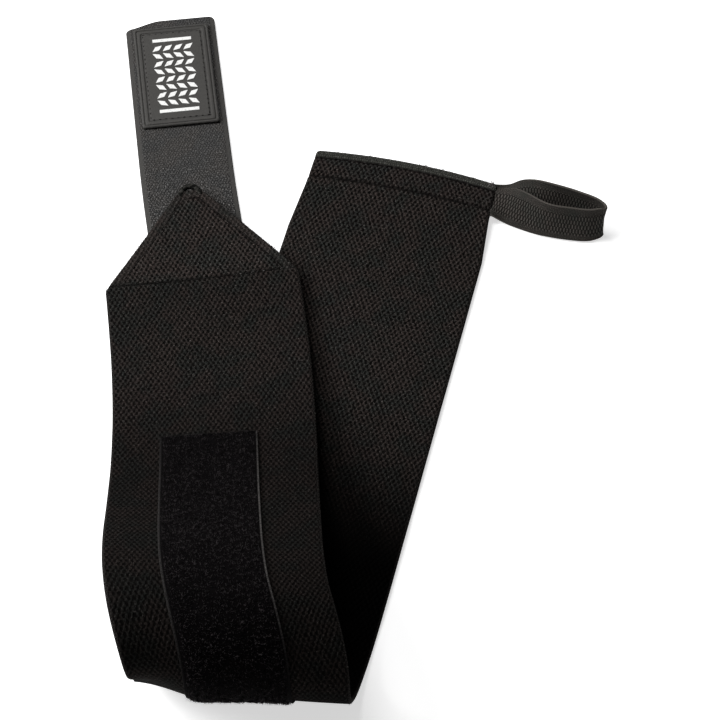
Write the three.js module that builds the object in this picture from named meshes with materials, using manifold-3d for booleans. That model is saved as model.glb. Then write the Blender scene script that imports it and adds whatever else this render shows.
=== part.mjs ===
// Weightlifting wrist wrap: a wide elastic band, folded once over itself and lying on a table.
// The band ends in a hem with a thumb loop at one end, and in a point with a hook strap at the other.
// Millimetres, +Z up, +Y away from the viewer. The origin is at the middle of the underside.
//
// Each cloth piece is cut flat, as a grid of places along and across a tape, and is then laid on a
// path that follows the folded wrap. On the path, "out" is the face that is outside when worn.

import * as THREE from 'three';
import { mergeVertices } from 'three/addons/utils/BufferGeometryUtils.js';
import Module from 'manifold-3d';

const wasm = await Module();
wasm.setup();

// Elastic band
const bandWidth = 80;
const bandThickness = 2;
const bandLength = 502.5; // from the hem's fold to the shoulders of the point
const bandEdgeRound = 0.6;
const hemDepth = 15;
const hemBow = 3; // how far the sewn hem bulges away from the band in its middle
const hemBowRun = 40; // the length over which that bulge fades out
const pointLength = 48; // the band's corners are folded in behind this stretch
const tipWidth = 9;

// Hook strap, sewn under the point
const strapWidth = 39.5;
const strapBacking = 0.9;
const hookHeight = 1.3;
const strapSelvage = 2; // plain edge without hooks
const strapTuck = 26; // hidden under the point, from the tip
const strapReach = 100; // free length beyond the tip
const strapCornerCut = 3.6;
const strapCornerPower = 8; // the higher, the closer to the end the cut begins

// Pile tape that the hooks hold on to
const pileWidth = 38;
const pileLength = 172;
const pileBacking = 0.7;
const pileHeight = 1.2;
const pileSelvage = 1.4;
const pileFromShoulder = 79.5;
const pileTopOffset = -2; // the tape is sewn on a little askew to the band's middle
const pileBottomOffset = 0.5;
const fieldSlope = 0.4; // width of the step from a tape's plain edge up to its thicker field

// Rubber label on the strap
const labelWidth = 33;
const labelLength = 57;
const labelBase = 0.7;
const labelRimWidth = 3.2;
const labelRimHeight = 0.5;
const labelPlateWidth = 24;
const labelPlateLength = 48;
const labelPlateHeight = 0.4;
const labelCorner = 1.5;
const labelBevel = 0.3;
const labelFromEnd = 5;

// Thumb loop of narrow elastic, sewn into the side of the hem
const loopWidth = 15.5;
const loopThickness = 1.2;
const loopEdgeRound = 0.3;
const loopReach = 45;
const loopFromFold = 9; // middle of the loop's width, from the hem's fold
const loopGap = 0.6; // between the loop's ends and the hem's side

const clearance = 0.3; // between pieces that lie on each other
const seamStep = 0.2; // length of the step at a raw edge
const gridStep = 6; // spacing of the sections along the wrap
const bendGridStep = 4; // closer spacing where the band turns over
const bendStart = 0.43; // shares of the band's length
const bendEnd = 0.9;
const loopSections = 44;

// Places across a cloth, as shares of its half width. The outermost ones make its rounded edge.
const bandColumns = [-1, -0.98, -0.75, -0.5, -0.25, 0, 0.25, 0.5, 0.75, 0.98, 1];
const loopColumns = [-1, -0.9, 0.9, 1];

// Sizes that follow from those above
const tipAt = bandLength + pointLength;
const strapStart = tipAt - strapTuck;
const strapEnd = tipAt + strapReach;
const strapDrop = 2 * bandThickness + clearance; // under both layers of the point
const restHeight = strapDrop + strapBacking + hookHeight; // the hooks stand on the table
const pileTop = bandLength - pileFromShoulder;
const pileBottom = pileTop - pileLength;

// How the band lies. "at" is a share of the band's length from the hem. "pitch" is the direction of
// travel in the upright plane: 0 along the table, 90 straight up, 180 back over itself. "swing" turns
// that direction about the upright axis and "roll" tips the band sideways, all in degrees.
const foldRows = [
  { at: 0, pitch: 0, swing: 14, roll: 0 },
  { at: 0.43, pitch: 0, swing: 14, roll: 0 },
  { at: 0.47, pitch: 2.5, swing: 16, roll: 0 },
  { at: 0.51, pitch: 36, swing: 10.5, roll: 3 },
  { at: 0.55, pitch: 67.5, swing: 4, roll: 2.5 },
  { at: 0.59, pitch: 130, swing: -12, roll: 7 },
  { at: 0.63, pitch: 179, swing: -15, roll: 11 },
  { at: 0.67, pitch: 203, swing: -7, roll: 9.5 },
  { at: 0.71, pitch: 210, swing: -4, roll: 5 },
  { at: 0.76, pitch: 206, swing: -3, roll: 0.5 },
  { at: 0.815, pitch: 194.5, swing: -2, roll: -2.5 },
  { at: 0.885, pitch: 180.5, swing: -4, roll: -2.5 },
  { at: 0.955, pitch: 180, swing: -7, roll: 0 },
  { at: 1.08, pitch: 180, swing: -9.5, roll: 0 },
  { at: 1.12, pitch: 180, swing: -7.5, roll: 0 },
  { at: 1.4, pitch: 180, swing: -7, roll: 0 },
];
const easeReach = 10; // the rows are averaged this far to either side, so that no crease shows
const easeShares = [-1, -0.5, 0, 0.5, 1];
const settleFrom = 0.66; // share of the length where the upper run starts to sink to its rest height
const settleTo = 0.95;

// The band's left edge curls in a little where it turns over.
const curlDepth = 9;
const curlMiddle = 0.575; // shares of the band's length
const curlReach = 0.075;
const curlFrom = 0.125; // share of the band's width, to the left of its middle
const curlDraw = 0.4; // how far the curled edge comes in towards the middle, as a share of its depth

// How wide the band is along its length, as shares of its length and width: the hem's seam draws it in.
const widthRows = [
  { at: 0, width: 0.985 },
  { at: 0.037, width: 0.985 },
  { at: 0.08, width: 1.03 },
  { at: 0.4, width: 1.02 },
  { at: 0.55, width: 1 },
  { at: 1, width: 0.99 },
];

// How the thumb loop lies. "out" is a share of its reach beyond the band's edge. "toward" and "lift"
// are shares of its width, towards the viewer and above the table. "tilt" is the angle by which it
// stands up, from 0 flat on the table to 90 on its edge.
const loopRows = [
  { out: 0, toward: 0, lift: 0.23, tilt: 0 },
  { out: 0.1, toward: 0.01, lift: 0.26, tilt: 9 },
  { out: 0.25, toward: 0.25, lift: 0.38, tilt: 42 },
  { out: 0.48, toward: 0.48, lift: 0.48, tilt: 66 },
  { out: 0.72, toward: 0.47, lift: 0.49, tilt: 68 },
  { out: 0.91, toward: 0.38, lift: 0.5, tilt: 70 },
  { out: 1, toward: 0.16, lift: 0.5, tilt: 74 },
  { out: 0.93, toward: -0.12, lift: 0.51, tilt: 80 },
  { out: 0.73, toward: -0.3, lift: 0.51, tilt: 80 },
  { out: 0.48, toward: -0.32, lift: 0.48, tilt: 66 },
  { out: 0.25, toward: -0.2, lift: 0.3, tilt: 30 },
  { out: 0.1, toward: -0.01, lift: 0.12, tilt: 5 },
  { out: 0, toward: 0, lift: 0.08, tilt: 0 },
];

const radians = THREE.MathUtils.degToRad;
const smooth = THREE.MathUtils.smoothstep;

function mesh(name, geometry, colour, roughness) {
  const material = new THREE.MeshStandardMaterial({ color: colour, roughness, metalness: 0 });
  const made = new THREE.Mesh(geometry, material);
  made.name = name;
  return made;
}

function rowValue(rows, key, at, column) {
  let i = 1;
  while (i < rows.length - 1 && rows[i][key] < at) i += 1;
  const [low, high] = [rows[i - 1], rows[i]];
  const share = THREE.MathUtils.clamp((at - low[key]) / (high[key] - low[key]), 0, 1);
  return THREE.MathUtils.lerp(low[column], high[column], share);
}

// An angle of the fold at a place along the band, in radians.
function foldAngle(along, column) {
  const near = easeShares.map((share) => (along + share * easeReach) / bandLength);
  const sum = near.reduce((total, at) => total + rowValue(foldRows, 'at', at, column), 0);
  return radians(sum / near.length);
}

// Axes of the band at a place along it: travel, across to the right, and inward through its thickness.
function axesAt(along) {
  const pitch = foldAngle(along, 'pitch');
  const swing = foldAngle(along, 'swing');
  const roll = foldAngle(along, 'roll');
  const level = new THREE.Vector3(-Math.sin(swing), -Math.cos(swing), 0);
  const up = new THREE.Vector3(0, 0, 1);
  const travel = level.clone().multiplyScalar(Math.cos(pitch)).addScaledVector(up, Math.sin(pitch));
  const side = new THREE.Vector3(Math.cos(swing), -Math.sin(swing), 0);
  const facing = level.clone().multiplyScalar(-Math.sin(pitch)).addScaledVector(up, Math.cos(pitch));
  const across = side.clone().multiplyScalar(Math.cos(roll)).addScaledVector(facing, Math.sin(roll));
  const inward = facing.multiplyScalar(Math.cos(roll)).addScaledVector(side, -Math.sin(roll));
  return { travel, across, inward };
}

// The middle of the band's outer face, walked in small steps from the hem to the strap's end.
function walkFold() {
  const step = 1;
  const count = Math.ceil(strapEnd / step) + 1;
  const points = [new THREE.Vector3()];
  for (let i = 1; i < count; i += 1) {
    const { travel } = axesAt((i - 0.5) * step);
    points.push(points[i - 1].clone().addScaledVector(travel, step));
  }
  const settle = restHeight - points.at(-1).z;
  points.forEach((point, i) => {
    const share = (i * step) / bandLength;
    point.z += settle * smooth(share, settleFrom, settleTo);
    point.z += bandThickness * (1 - smooth(i * step, hemDepth, 3 * hemDepth));
  });
  return (along) => {
    const i = THREE.MathUtils.clamp(Math.floor(along / step), 0, count - 2);
    return points[i].clone().lerp(points[i + 1], along / step - i);
  };
}

const foldPoint = walkFold();

// How far the curled left edge stands in from the path.
function curlAt(along, right) {
  const away = THREE.MathUtils.clamp((along / bandLength - curlMiddle) / curlReach, -1, 1);
  const toEdge = smooth(-right / bandWidth, curlFrom, 0.5);
  return curlDepth * Math.cos(away * Math.PI / 2) ** 2 * toEdge;
}

// The point of the wrap at a distance along it, to the right of its middle, and in from its outer face.
function onFold(along, right, inward) {
  const axes = axesAt(along);
  const bow = hemBow * (1 - smooth(along, 0, hemBowRun)) * (1 - (2 * right / bandWidth) ** 2);
  const curl = curlAt(along, right);
  return foldPoint(along)
    .addScaledVector(axes.travel, -bow)
    .addScaledVector(axes.across, right + curlDraw * curl)
    .addScaledVector(axes.inward, inward + curl);
}

// Lays a grid of cloth: a box whose corners are at each place along, each place across, and two layers.
function layCloth(along, across, place) {
  const box = new THREE.BoxGeometry(2, 2, 2, along.length - 1, across.length - 1, 1);
  box.deleteAttribute('normal');
  box.deleteAttribute('uv');
  const cloth = mergeVertices(box, 1e-4);
  const corners = cloth.attributes.position;
  for (let i = 0; i < corners.count; i += 1) {
    const alongAt = along[Math.round((corners.getX(i) + 1) / 2 * (along.length - 1))];
    const acrossAt = across[Math.round((corners.getY(i) + 1) / 2 * (across.length - 1))];
    const point = place(alongAt, acrossAt, corners.getZ(i) > 0);
    corners.setXYZ(i, point.x, point.y, point.z);
  }
  return cloth;
}

// Places along the wrap where every cloth has a section, closer together where the band turns over.
function wrapPlaces() {
  const places = [0];
  while (places.at(-1) < strapEnd) {
    const share = places.at(-1) / bandLength;
    const turning = share > bendStart && share < bendEnd;
    places.push(places.at(-1) + (turning ? bendGridStep : gridStep));
  }
  return places;
}

const places = wrapPlaces();

// The sections of one cloth: its two ends, some places of its own, and the shared places between.
function sections(from, to, own = []) {
  const fixed = [from, to, ...own];
  const clear = (at) => fixed.every((other) => Math.abs(other - at) > gridStep / 4);
  const shared = places.filter((at) => at > from && at < to && clear(at));
  return [...fixed, ...shared].sort((a, b) => a - b);
}

// The band narrows to its tip, is doubled at both ends, and has softly rounded edges.
function elasticBand() {
  const slope = (bandWidth - tipWidth) / pointLength;
  const wide = (along) => bandWidth * rowValue(widthRows, 'at', along / bandLength, 'width');
  const half = (along) => Math.min(wide(along), tipWidth + slope * (tipAt - along)) / 2;
  const along = sections(0, tipAt, [
    bandEdgeRound, hemDepth, hemDepth + seamStep, bandLength, bandLength + seamStep, tipAt - bandEdgeRound,
  ]);
  const geometry = layCloth(along, bandColumns, (at, share, inner) => {
    const outFace = at <= hemDepth ? -bandThickness : 0;
    const inFace = at > bandLength ? 2 * bandThickness : bandThickness;
    const isEdge = Math.abs(share) === 1 || at === 0 || at === tipAt;
    const rounding = isEdge ? bandEdgeRound : 0;
    return onFold(at, share * half(at), inner ? inFace - rounding : outFace + rounding);
  });
  return mesh('elastic_band', geometry, 0x1d1b1a, 0.9);
}

// A tape with thin plain edges and a thicker field in the middle, such as pile or hooks.
function fieldTape(tape) {
  const { from, to, width, selvage, back, edgeFace, fieldFace } = tape;
  const { offset = () => 0, trim = () => 0 } = tape;
  const fieldHalf = width / 2 - selvage;
  const half = [0, fieldHalf / 2, fieldHalf, fieldHalf + fieldSlope, width / 2];
  const across = [...half.slice(1).reverse().map((right) => -right), ...half];
  const along = sections(from, to, [from + fieldSlope, to - fieldSlope]);
  return layCloth(along, across, (at, right, inner) => {
    const ended = at === from || at === to;
    const face = Math.abs(right) <= fieldHalf && !ended ? fieldFace : edgeFace;
    const [low, high] = [Math.min(face, back), Math.max(face, back)];
    const share = (at - from) / (to - from);
    return onFold(at - trim(right, share), right + offset(share), inner ? high : low);
  });
}

function pileTape() {
  const back = -clearance;
  const geometry = fieldTape({
    from: pileBottom,
    to: pileTop,
    width: pileWidth,
    selvage: pileSelvage,
    offset: (share) => THREE.MathUtils.lerp(pileBottomOffset, pileTopOffset, share),
    back,
    edgeFace: back - pileBacking,
    fieldFace: back - pileBacking - pileHeight,
  });
  return mesh('pile_tape', geometry, 0x101010, 1);
}

// The strap's end is cut back a little at its left corner.
function strapCorner(right, share) {
  return strapCornerCut * smooth(-right, strapWidth / 10, strapWidth / 2) * share ** strapCornerPower;
}

function hookStrap() {
  const geometry = fieldTape({
    from: strapStart,
    to: strapEnd,
    width: strapWidth,
    selvage: strapSelvage,
    back: strapDrop,
    edgeFace: strapDrop + strapBacking,
    fieldFace: strapDrop + strapBacking + hookHeight,
    trim: strapCorner,
  });
  return mesh('hook_strap', geometry, 0x2b2a2b, 0.7);
}

function roundedRectangle(length, width, corner) {
  const [x, y] = [length / 2, width / 2];
  const shape = new THREE.Shape();
  shape.moveTo(-x + corner, -y);
  shape.lineTo(x - corner, -y);
  shape.absarc(x - corner, -y + corner, corner, -Math.PI / 2, 0);
  shape.lineTo(x, y - corner);
  shape.absarc(x - corner, y - corner, corner, 0, Math.PI / 2);
  shape.lineTo(-x + corner, y);
  shape.absarc(-x + corner, y - corner, corner, Math.PI / 2, Math.PI);
  shape.lineTo(-x, -y + corner);
  shape.absarc(-x + corner, -y + corner, corner, Math.PI, 1.5 * Math.PI);
  return shape;
}

// A flat plate with rounded corners and a bevelled top edge, as a solid for joining and cutting.
function plate(length, width, corner, bottom, top, bevel) {
  const outline = roundedRectangle(length - 2 * bevel, width - 2 * bevel, corner);
  const geometry = new THREE.ExtrudeGeometry(outline, {
    depth: top - bottom - bevel,
    bevelSize: bevel,
    bevelThickness: bevel / 2,
    bevelSegments: 1,
    curveSegments: 3,
  });
  geometry.translate(0, 0, bottom + bevel / 2);
  return asSolid(geometry);
}

function asSolid(geometry) {
  geometry.deleteAttribute('normal');
  geometry.deleteAttribute('uv');
  const merged = mergeVertices(geometry, 1e-4);
  return new wasm.Manifold(new wasm.Mesh({
    numProp: 3,
    vertProperties: new Float32Array(merged.attributes.position.array),
    triVerts: new Uint32Array(merged.index.array),
  }));
}

function asGeometry(solid) {
  const made = solid.getMesh();
  const geometry = new THREE.BufferGeometry();
  geometry.setAttribute('position', new THREE.BufferAttribute(made.vertProperties, 3));
  geometry.setIndex(new THREE.BufferAttribute(made.triVerts, 1));
  return geometry;
}

// Moulded rubber label: a base with a raised rim round its edge and a raised plate in the middle.
function rubberLabel() {
  const innerLength = labelLength - 2 * labelRimWidth;
  const innerWidth = labelWidth - 2 * labelRimWidth;
  const rimTop = labelBase + labelRimHeight;
  const plateTop = labelBase + labelPlateHeight;
  const innerCorner = labelCorner / 2;
  const body = plate(labelLength, labelWidth, labelCorner, 0, rimTop, labelBevel);
  const well = plate(innerLength, innerWidth, innerCorner, labelBase, rimTop + labelBase, labelBevel / 2);
  const centre = plate(labelPlateLength, labelPlateWidth, innerCorner, labelBase / 2, plateTop, labelBevel);
  const geometry = asGeometry(body.subtract(well).add(centre));
  const middle = strapEnd - labelFromEnd - labelLength / 2;
  const { travel, across, inward } = axesAt(middle);
  const axes = new THREE.Matrix4().makeBasis(travel, across.clone().negate(), inward.clone().negate());
  axes.setPosition(onFold(middle, 0, strapDrop - clearance));
  geometry.applyMatrix4(axes);
  return mesh('rubber_label', geometry, 0x2a2a2c, 0.55);
}

// The narrow elastic leaves the hem's side, stands up as it opens, and comes back under itself.
function thumbLoop() {
  const root = onFold(loopFromFold, bandWidth / 2 + loopGap, bandThickness);
  const { travel, across } = axesAt(loopFromFold);
  const far = travel.clone().negate();
  const up = new THREE.Vector3(0, 0, 1);
  const place = ({ out, toward, lift }) => root.clone().setZ(lift * loopWidth)
    .addScaledVector(across, out * loopReach)
    .addScaledVector(travel, toward * loopWidth);
  const line = new THREE.CatmullRomCurve3(loopRows.map(place), false, 'centripetal');
  const along = Array.from({ length: loopSections + 1 }, (_, i) => i / loopSections);
  const halfWidth = loopWidth / 2;
  const geometry = layCloth(along, loopColumns, (at, side, inner) => {
    const row = at * (loopRows.length - 1);
    const from = loopRows[Math.min(Math.floor(row), loopRows.length - 2)];
    const to = loopRows[Math.min(Math.floor(row) + 1, loopRows.length - 1)];
    const tilt = radians(THREE.MathUtils.lerp(from.tilt, to.tilt, row - Math.floor(row)));
    const wide = far.clone().multiplyScalar(Math.cos(tilt)).addScaledVector(up, Math.sin(tilt));
    const tangent = line.getTangent(at);
    wide.addScaledVector(tangent, -wide.dot(tangent)).normalize();
    const thick = tangent.clone().cross(wide);
    const rounding = Math.abs(side) === 1 ? loopEdgeRound : 0;
    const layer = (inner ? 1 : -1) * (loopThickness / 2 - rounding);
    return line.getPoint(at).addScaledVector(wide, side * halfWidth).addScaledVector(thick, layer);
  });
  return mesh('thumb_loop', geometry, 0x232220, 0.85);
}

const wrap = new THREE.Group();
wrap.add(elasticBand(), pileTape(), hookStrap(), rubberLabel(), thumbLoop());

// The origin goes to the middle of the underside.
const box = new THREE.Box3().setFromObject(wrap);
const middle = box.getCenter(new THREE.Vector3());
wrap.position.set(-middle.x, -middle.y, -box.min.z);

export default wrap;
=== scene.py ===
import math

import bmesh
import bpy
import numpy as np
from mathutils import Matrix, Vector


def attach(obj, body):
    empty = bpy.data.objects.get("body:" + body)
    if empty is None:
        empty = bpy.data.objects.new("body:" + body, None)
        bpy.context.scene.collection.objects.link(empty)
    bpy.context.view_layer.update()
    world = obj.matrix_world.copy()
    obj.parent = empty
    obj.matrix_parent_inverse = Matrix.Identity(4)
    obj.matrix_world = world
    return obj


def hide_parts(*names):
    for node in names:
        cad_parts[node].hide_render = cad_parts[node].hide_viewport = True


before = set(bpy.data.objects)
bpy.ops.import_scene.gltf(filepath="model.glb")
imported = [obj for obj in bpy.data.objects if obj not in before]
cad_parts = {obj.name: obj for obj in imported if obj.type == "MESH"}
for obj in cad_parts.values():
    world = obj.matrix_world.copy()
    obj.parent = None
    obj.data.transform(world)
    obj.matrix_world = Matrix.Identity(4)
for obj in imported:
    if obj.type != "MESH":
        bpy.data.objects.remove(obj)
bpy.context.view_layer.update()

# %% [markdown]
# A weightlifting wrist wrap lies folded once over itself on a white table. It is a wide, woven
# elastic band with a hem and a thumb loop at one end. At the other end its corners are folded in to
# a point, and a hook strap with a moulded label is sewn under the point. A strip of brushed pile on
# the outer face is what the hooks hold on to.
#
# Everything here is in metres. A cloth is drawn flat first, with "along" from the hem and "right"
# from the middle of the band, and is then laid on the path that the folded wrap follows.

MM = 0.001

# %% [markdown]
# The camera comes first, because the whole picture depends on it. It looks down at the table at 55
# degrees from the fold's side, with a long lens, so that the strap hardly narrows with distance.

# %% Camera
LOOK_AT = Vector((0.0009, -0.0089, 0.0001))
LOOK_DOWN = math.radians(55)
CAMERA_DISTANCE = 0.972
LENS = 121.5

camera = bpy.data.objects.new("camera", bpy.data.cameras.new("camera"))
bpy.context.collection.objects.link(camera)
back = Vector((0, -math.cos(LOOK_DOWN), math.sin(LOOK_DOWN)))
camera.location = LOOK_AT + back * CAMERA_DISTANCE
camera.rotation_euler = back.to_track_quat("Z", "Y").to_euler()
camera.data.lens = LENS
camera.data.sensor_width = 36
bpy.context.scene.camera = camera
print("camera height in mm:", round(camera.location.z / MM))

# %% [markdown]
# The photograph was lit from the left, over a white table that is itself lit from below, so that its
# shadows stay pale. The room adds hardly any light. That is why the hollow on the right of the fold
# goes dark while the table beside it stays white. Shade painted into the band's colour makes it almost black.

# %% Table and lights
FLOOR_SIZE = 6.0
FLOOR_GLOW = 0.62
ROOM_LIGHT = 0.05

bpy.ops.object.select_all(action="DESELECT")
bpy.ops.mesh.primitive_plane_add(size=FLOOR_SIZE)
table_top = bpy.context.object
table_top.name = "table_top"
white = bpy.data.materials.new("white_table")
white.use_nodes = True
shader = white.node_tree.nodes["Principled BSDF"]
shader.inputs["Base Color"].default_value = (0.93, 0.93, 0.93, 1)
shader.inputs["Roughness"].default_value = 0.8
shader.inputs["Specular IOR Level"].default_value = 0.1
shader.inputs["Emission Color"].default_value = (1, 1, 1, 1)
shader.inputs["Emission Strength"].default_value = FLOOR_GLOW
table_top.data.materials.append(white)

world = bpy.data.worlds.new("studio")
world.use_nodes = True
world.node_tree.nodes["Background"].inputs["Color"].default_value = (1, 1, 1, 1)
world.node_tree.nodes["Background"].inputs["Strength"].default_value = ROOM_LIGHT
bpy.context.scene.world = world


def add_lamp(name, place, size, power):
    """A square soft lamp that faces the wrap."""
    lamp = bpy.data.objects.new(name, bpy.data.lights.new(name, "AREA"))
    bpy.context.collection.objects.link(lamp)
    lamp.data.size = size
    lamp.data.energy = power
    lamp.location = place
    lamp.rotation_euler = (Vector(place) - LOOK_AT).to_track_quat("Z", "Y").to_euler()
    return lamp


add_lamp("left_lamp", (-0.95, 0.15, 0.68), 0.6, 15)
add_lamp("back_lamp", (-0.3, 0.42, 0.75), 0.4, 4.5)

# %% [markdown]
# The folded wrap follows one path in the upright plane: along the table, up and round the bend, and
# back over itself. The table below gives the direction of travel at shares of the band's length, and
# the path is walked from it in small steps. "Pitch" is 0 along the table and 180 back over it,
# "swing" turns that direction about the upright axis, and "roll" tips the band sideways.

# %% The path of the fold
BAND_LENGTH = 502.5 * MM
BAND_THICKNESS = 2 * MM
BAND_WIDTH = 80 * MM
POINT_LENGTH = 48 * MM
STRAP_REACH = 100 * MM
TIP_AT = BAND_LENGTH + POINT_LENGTH
STRAP_END = TIP_AT + STRAP_REACH
REST_HEIGHT = 6.5 * MM
HEM_DEPTH = 15 * MM
HEM_BOW = 3 * MM
HEM_BOW_RUN = 40 * MM
HEM_START = np.array((20.8, 87.9, 0.1)) * MM
WALK_STEP = 1 * MM

# share of the length, pitch, swing, roll in degrees
FOLD_ROWS = np.array([
    (0, 0, 14, 0),
    (0.43, 0, 14, 0),
    (0.47, 2.5, 16, 0),
    (0.51, 36, 10.5, 3),
    (0.55, 67.5, 4, 2.5),
    (0.59, 130, -12, 7),
    (0.63, 179, -15, 11),
    (0.67, 203, -7, 9.5),
    (0.71, 210, -4, 5),
    (0.76, 206, -3, 0.5),
    (0.815, 194.5, -2, -2.5),
    (0.885, 180.5, -4, -2.5),
    (0.955, 180, -7, 0),
    (1.08, 180, -9.5, 0),
    (1.12, 180, -7.5, 0),
    (1.4, 180, -7, 0),
])
# the band's left edge curls in a little at the bend; middle and reach are shares of the band's length
CURL_DEPTH = 9 * MM
CURL_MIDDLE = 0.575
CURL_REACH = 0.075
CURL_FROM = 0.125  # share of the band's width, to the left of its middle
CURL_DRAW = 0.4  # how far the curled edge comes in towards the middle, as a share of its depth
SETTLE_RUN = (0.66, 0.95)  # over this share of the length the path comes down to its rest height
# the rows are averaged over this run, so that the cloth turns without creases
EASE_RUN = np.array((-10, -5, 0, 5, 10)) * MM
# share of the length, share of the width
WIDTH_ROWS = np.array([(0, 0.985), (0.037, 0.985), (0.08, 1.03), (0.4, 1.02), (0.55, 1), (1, 0.99)])


def smooth_step(value, low, high):
    """0 at low and 1 at high, with a soft step between; high may be the smaller one."""
    share = np.clip((value - low) / (high - low), 0, 1)
    return share * share * (3 - 2 * share)


def rounded(gap, reach, depth):
    """How much a rounded end takes away at a gap from it: the depth at the end, nothing at the reach."""
    return depth * (1 - np.sqrt(1 - (1 - np.clip(gap / reach, 0, 1)) ** 2))


def axes_at(along):
    """Travel, across to the right, and inward through the cloth, at places along the wrap."""
    near = (np.asarray(along, float)[..., None] + EASE_RUN) / BAND_LENGTH
    angles = [np.interp(near, FOLD_ROWS[:, 0], FOLD_ROWS[:, k]).mean(-1) for k in (1, 2, 3)]
    pitch, swing, roll = np.radians(angles)
    none = np.zeros_like(pitch)
    up = np.stack([none, none, none + 1], -1)
    level = np.stack([-np.sin(swing), -np.cos(swing), none], -1)
    side = np.stack([np.cos(swing), -np.sin(swing), none], -1)
    pitch, roll = pitch[..., None], roll[..., None]
    travel = np.cos(pitch) * level + np.sin(pitch) * up
    facing = -np.sin(pitch) * level + np.cos(pitch) * up
    across = np.cos(roll) * side + np.sin(roll) * facing
    return travel, across, -np.sin(roll) * side + np.cos(roll) * facing


walk = np.arange(0, STRAP_END + 2 * WALK_STEP, WALK_STEP)
steps = axes_at(walk[1:] - WALK_STEP / 2)[0] * WALK_STEP
spine = np.concatenate([np.zeros((1, 3)), np.cumsum(steps, axis=0)])
spine[:, 2] += (REST_HEIGHT - spine[-1, 2]) * smooth_step(walk / BAND_LENGTH, *SETTLE_RUN)
spine[:, 2] += BAND_THICKNESS * (1 - smooth_step(walk, HEM_DEPTH, 3 * HEM_DEPTH))
spine += HEM_START


def curl_at(along, right):
    """How far the curled left edge stands in from the path."""
    away = np.clip((along / BAND_LENGTH - CURL_MIDDLE) / CURL_REACH, -1, 1)
    return CURL_DEPTH * np.cos(away * math.pi / 2) ** 2 * smooth_step(-right / BAND_WIDTH, CURL_FROM, 0.5)


def on_fold(along, right, inward):
    """Points of the wrap at distances along it, to the right of its middle, and in from its outer face."""
    along, right, inward = np.broadcast_arrays(along, right, inward)
    centre = np.stack([np.interp(along, walk, spine[:, k]) for k in range(3)], -1)
    travel, across, facing = axes_at(along)
    bow = HEM_BOW * (1 - smooth_step(along, 0, HEM_BOW_RUN)) * (1 - (2 * right / BAND_WIDTH) ** 2)
    curl = curl_at(along, right)
    right, inward = right + CURL_DRAW * curl, inward + curl
    return centre - bow[..., None] * travel + right[..., None] * across + inward[..., None] * facing


print("highest point of the path in mm:", round(spine[:, 2].max() / MM, 1))

# %% [markdown]
# Every cloth here is a thin closed body with rounded edges. One helper makes them all: it takes the
# sections along the tape, the half width and the two faces at each, and goes round each section as a
# ring. The flat place of each corner is kept as the UV map, in metres, so that weave and ribs follow
# the cloth round the fold. The distance to the edge is kept too, for the selvages, the point's margins and
# its seams.

# %% Helpers for meshes and laid cloths
EDGE_STEPS = 4
FINE_REACH = 1.6 * MM
FINE_STEP = 0.4 * MM


def face_out(piece):
    """Turns every face outwards."""
    shape = bmesh.new()
    shape.from_mesh(piece.data)
    bmesh.ops.recalc_face_normals(shape, faces=shape.faces)
    if shape.calc_volume(signed=True) < 0:
        bmesh.ops.reverse_faces(shape, faces=shape.faces)
    shape.to_mesh(piece.data)
    shape.free()


def add_mesh(name, points, faces):
    """A smooth object made from points and faces, with every face outwards."""
    mesh = bpy.data.meshes.new(name)
    mesh.from_pydata(points.reshape(-1, 3).tolist(), [], faces)
    piece = bpy.data.objects.new(name, mesh)
    bpy.context.collection.objects.link(piece)
    face_out(piece)
    mesh.shade_smooth()
    return piece


def ring_offsets(columns):
    """Shares across and through the cloth once round a section: outer face, edge, inner face, edge."""
    turn = np.linspace(0, math.pi, EDGE_STEPS + 2)[1:-1]
    out_face = [(share, 0, 0) for share in columns]
    right_edge = [(1, math.sin(a), (1 - math.cos(a)) / 2) for a in turn]
    in_face = [(share, 0, 1) for share in reversed(columns)]
    left_edge = [(-1, -math.sin(a), (1 + math.cos(a)) / 2) for a in turn]
    return np.array(out_face + right_edge + in_face + left_edge)


def lay_cloth(name, along, columns, half_width, faces, edge_radius, lay=on_fold, middle=None):
    """A closed cloth. half_width(along) and faces(along, right) give the flat shape in metres."""
    ring = ring_offsets(columns)
    s = np.repeat(along[:, None], len(ring), axis=1)
    half = half_width(along)[:, None]
    radius = np.minimum(edge_radius, half * 0.5)
    right = ring[:, 0] * (half - radius) + ring[:, 1] * radius
    shift = 0 if middle is None else middle(along)[:, None]
    out_face, in_face = faces(s, right)
    inward = out_face + (in_face - out_face) * ring[:, 2]
    points = lay(s, right + shift, inward)
    count, size = s.shape
    index = np.arange(count * size).reshape(count, size)
    after = np.roll(index, -1, axis=1)
    quads = np.stack([index[:-1], after[:-1], after[1:], index[1:]], -1).reshape(-1, 4).tolist()
    n = len(columns)
    for row, flip in ((index[0], False), (index[-1], True)):
        order = list(row[:n]), list(row[n + EDGE_STEPS:2 * n + EDGE_STEPS])[::-1]
        for k in range(n - 1):
            face = [order[0][k], order[1][k], order[1][k + 1], order[0][k + 1]]
            quads.append(face[::-1] if flip else face)
        right_cap = list(row[n - 1:n + EDGE_STEPS + 1])
        left_cap = list(row[2 * n + EDGE_STEPS - 1:]) + [row[0]]
        for cap in (right_cap, left_cap):
            quads.append(cap[::-1] if flip else cap)
    piece = add_mesh(name, points, quads)
    flat = np.stack([right + 0 * s, s], -1).reshape(-1, 2)
    edge = np.minimum(half - np.abs(right), np.minimum(s - along[0], along[-1] - s))
    store_flat(piece.data, flat, edge.reshape(-1))
    return piece


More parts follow.
